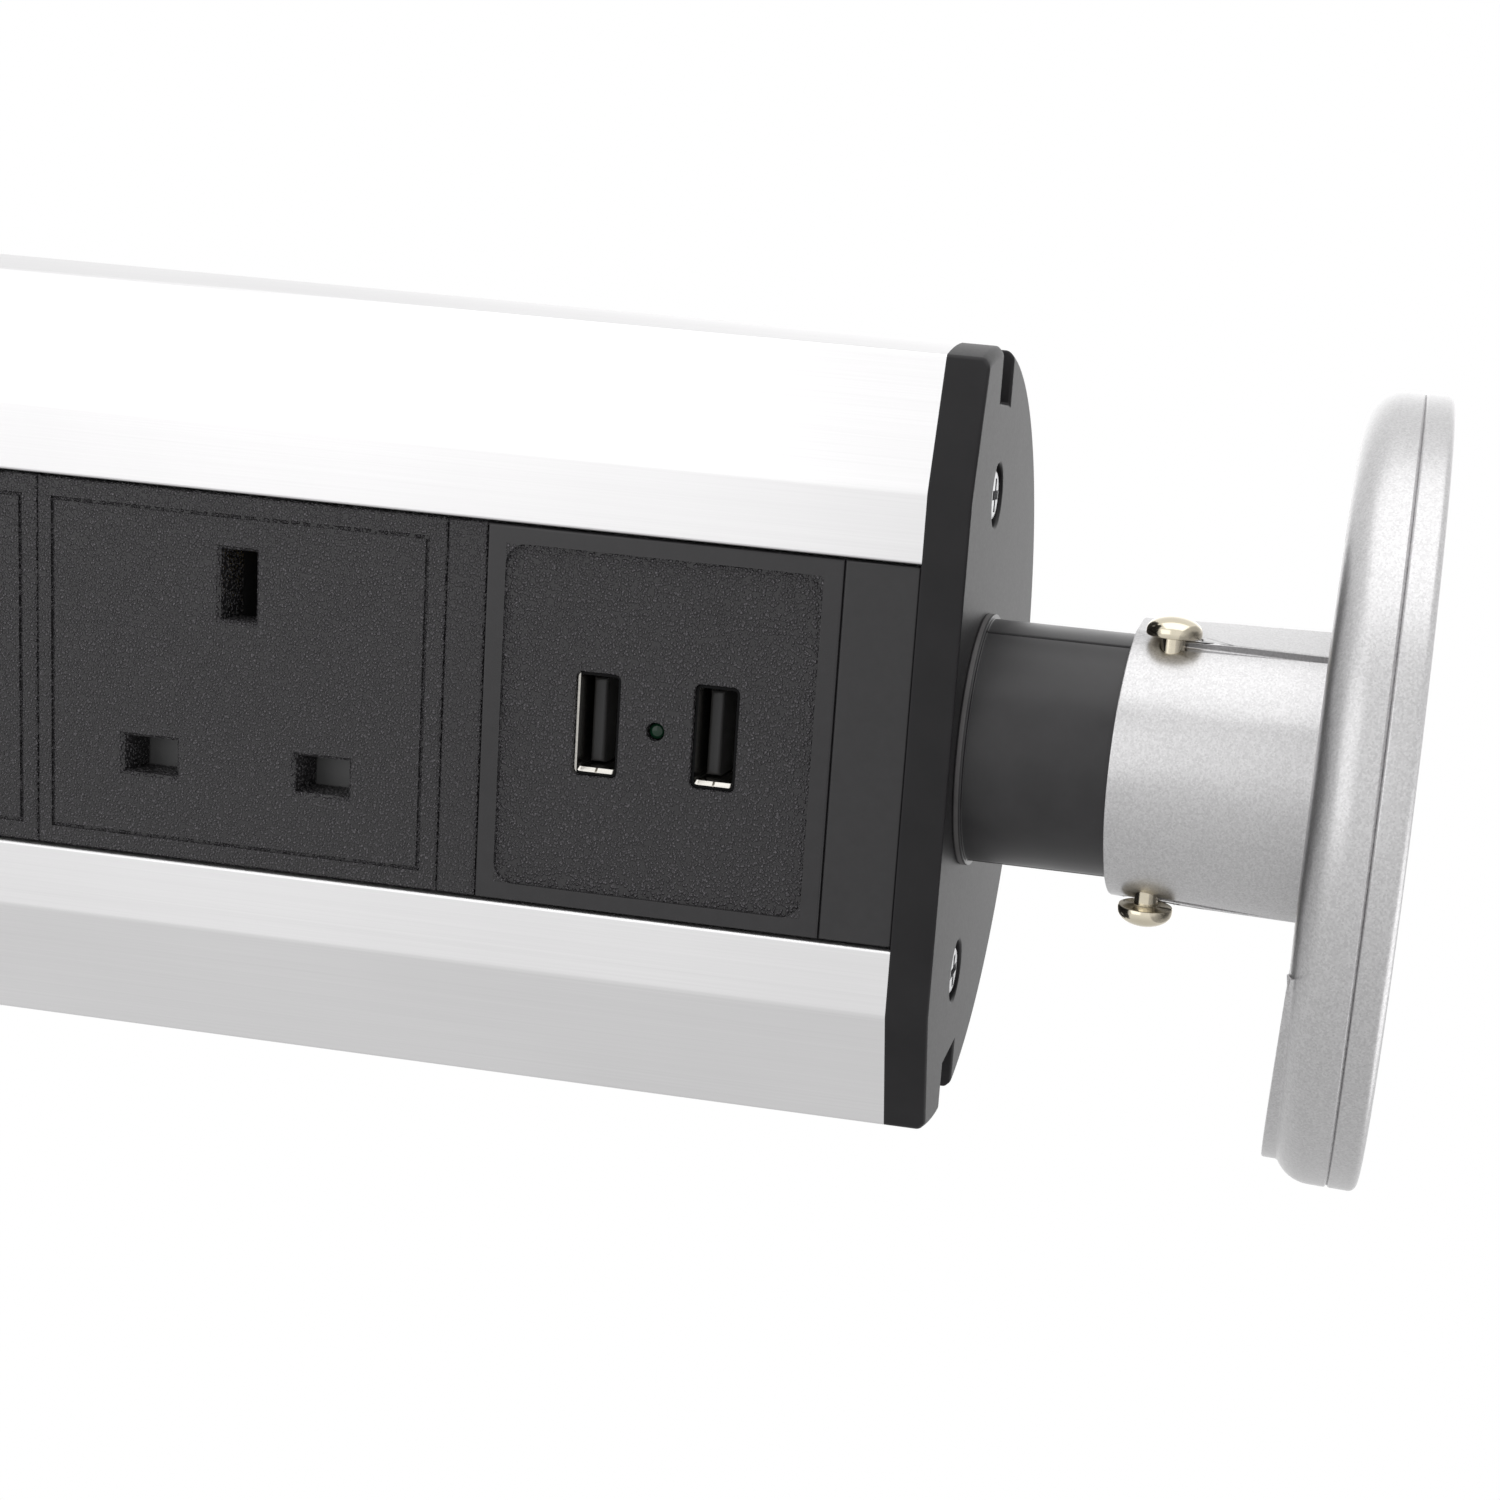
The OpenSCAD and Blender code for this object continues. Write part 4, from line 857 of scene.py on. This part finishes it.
def on_lid_outside(edge):
    place = levelled(edge)
    outside = place.xy.length > LID_SKIN_R and place.z < BELOW_SEAM_Z
    return outside and sharp(edge, 22) and edge.calc_length() > TOUCH * MM


lid = merged_copy("lid_base")
soften(lid, PAINTED_EDGE, on_lid_outside, 2)
settle(lid, "lid", "lid_base")

# %% [markdown]
# The top plate is a turned disc with a rounded upper edge. Below, it meets the lid in a fine V-shaped
# seam. A lathe makes it: the outline runs from the centre out along the underside, round the edge and
# back to the centre, and is spun about the leaning axis.

# %% Top plate
SEAM_Z = 277.8
PLATE_T = 3.4
LID_R = 48.25
EDGE_R = 1.0
SPIGOT_H = 1.6
SPIGOT_R = 39.9
FACE_R = 30
SEAM_SIDE = ((0, 0.3), (0.15, 0.08), (0.35, 0))
outline = [(-SPIGOT_H, 0), (-SPIGOT_H, SPIGOT_R), (0, SPIGOT_R)]
outline += [(up, LID_R - inset) for up, inset in SEAM_SIDE]
outline += [(PLATE_T - EDGE_R + EDGE_R * math.sin(a), LID_R - EDGE_R + EDGE_R * math.cos(a))
            for a in quarter_turn(6)]
outline += [(PLATE_T, FACE_R), (PLATE_T, 0)]
plate_axis = lean.to_3x3() @ Vector((0, 0, 1))
seam_middle = lean @ Vector((0, 0, SEAM_Z * MM))
plate = lathe("lid_plate_piece", outline, seam_middle, plate_axis, (1, 0, 0), 128)
settle(plate, "lid", "lid_plate")

# %% [markdown]
# ## Hinge pins
# The two pins are plated rivets with mushroom heads: a shank, a broken corner under the head, a thin
# straight edge and a low dome. They are turned pieces too, so one is made on the lathe and the other is
# its mirror image. A mirror turns a mesh inside out, so the copy's normals are recalculated.

# %% Pins
HEAD_H = 2.6
HEAD_R = 3.4
SHANK_R = 1.5
RIM_H = 0.7
CHAMFER = 0.2
pin_start, pin_end = pin_low.x / MM, pin_high.x / MM
head_x = pin_end - HEAD_H
dome_x = head_x + RIM_H
dome = [(dome_x + (HEAD_H - RIM_H) * math.sin(a), HEAD_R * math.cos(a)) for a in quarter_turn(9)]
dome[-1] = (pin_end, 0)
outline = [(pin_start, 0), (pin_start, SHANK_R - CHAMFER), (pin_start + CHAMFER, SHANK_R),
           (head_x - 0.15, SHANK_R), (head_x, SHANK_R + 0.2), (head_x, HEAD_R - 0.35),
           (head_x + 0.1, HEAD_R - 0.1), (head_x + 0.3, HEAD_R)] + dome
pin = lathe("hinge_pin_right", outline, HINGE, (1, 0, 0), (0, 0, 1), 48)
left_pin = mirrored(pin, "hinge_pin_left", 0, HINGE)
settle(pin, "lid", "hinge_pin_2")
settle(left_pin, "lid", "hinge_pin_1")

# %% [markdown]
# ## The worktop fitting
# At the worktop there are a ring, a washer and a ribbed nut, and at the tower's foot a gland, none of
# which the photo shows. They are kept plain, but each has the radius that turning and moulding leave.

# %% Ring, washer, nut and gland
NUT_RIM_R = 56
GLAND_SKIN_R = 9
for name, body, width, wanted in (
        ("desk_ring", "fitting", 0.5, lambda e: sharp(e, 25)),
        ("clamp_washer", "washer", 0.35, lambda e: sharp(e, 60)),
        ("clamp_nut", "nut", 0.8, lambda e: sharp(e, 35) and out_from_axis(e) > NUT_RIM_R),
        ("cable_gland", "tower", 0.6, lambda e: sharp(e, 40) and out_from_axis(e) > GLAND_SKIN_R)):
    piece = merged_copy(name)
    soften(piece, width, wanted)
    settle(piece, body, name)

# %% [markdown]
# ## Light and floor
# A product photo on white: the world is a light tent, white to the camera and to reflections and dimmer
# as light. The tent stands open on the +X side, so round metal falls off in tone there, and its wall
# behind the object is brighter, so that metal seen at a slant gleams. Three large soft lamps model the
# round forms. The floor is a pale disc that fades out at its rim.

# %% World
AMBIENT = 0.45
OPEN_SIDE = 0.7
BACK_WALL = 1.7
world = bpy.data.worlds.new("studio")
scene.world = world
world.use_nodes = True
tent = Recipe(world.node_tree)
tent.tree.nodes.clear()
camera_ray = tent.node("LightPath", out="Is Camera Ray")
glossy_ray = tent.node("LightPath", out="Is Glossy Ray")
clear_ray = tent.node("LightPath", out="Is Transmission Ray")
direction = tent.node("TexCoord", out="Generated")


def wall(axis, start, end, light):
    towards = tent.node("SeparateXYZ", None, {0: direction}, out=axis)
    return tent.node("MapRange", None, {"Value": towards, "From Min": start, "From Max": end,
                                        "To Min": 1.0, "To Max": light})


white = camera_ray + clear_ray
walls = wall("X", -0.1, 0.9, OPEN_SIDE) * wall("Y", 0.8, 0.97, BACK_WALL)
strength = white + (1.0 - white) * walls * (AMBIENT + (1.0 - AMBIENT) * glossy_ray)
glow = tent.node("Background", None, {"Color": (1, 1, 1, 1), "Strength": strength})
tent.node("OutputWorld", None, {0: glow}, out=None)
print("world nodes:", len(tent.tree.nodes))


# %% Lamps
def soft_lamp(name, place, aim, size, watts):
    data = bpy.data.lights.new(name, "AREA")
    data.shape = "RECTANGLE"
    data.size, data.size_y = size
    data.energy = watts
    lamp = bpy.data.objects.new(name, data)
    scene.collection.objects.link(lamp)
    towards = Vector(aim) - Vector(place)
    turned_to = towards.to_track_quat("-Z", "Y").to_matrix().to_4x4()
    lamp.matrix_world = Matrix.Translation(place) @ turned_to


soft_lamp("overhead", (-0.92, -0.15, 0.25), (0, 0, 0.2), (1.0, 1.2), 3.6)
soft_lamp("front", (-0.25, -0.75, -0.3), (0, 0, 0.2), (0.7, 0.7), 1.1)
soft_lamp("end", (0.45, -0.1, 1.05), (0, 0, 0.15), (0.8, 0.8), 2.2)

# %% Floor
FLOOR_R = 0.5
FLOOR_DROP = 0.29
FLOOR_Z = cad_box[0].z - FLOOR_DROP
bpy.ops.object.select_all(action="DESELECT")
bpy.ops.mesh.primitive_circle_add(vertices=96, radius=FLOOR_R, fill_type="NGON",
                                  location=(0, 0, FLOOR_Z))
floor = bpy.context.object
floor.name = "floor"
ground = Finish("pale_floor", Roughness=0.9)
ground.feed("Base Color", (0.9, 0.9, 0.9, 1))
x, y, _ = ground.axes()
towards_rim = (x * x + y * y) * (1 / FLOOR_R ** 2)
ground.feed("Alpha", ground.ramp(towards_rim, (0.3, 1.0), (0.95, 0.0)))
floor.data.materials.append(ground.material)
print("floor at", round(FLOOR_Z, 3))
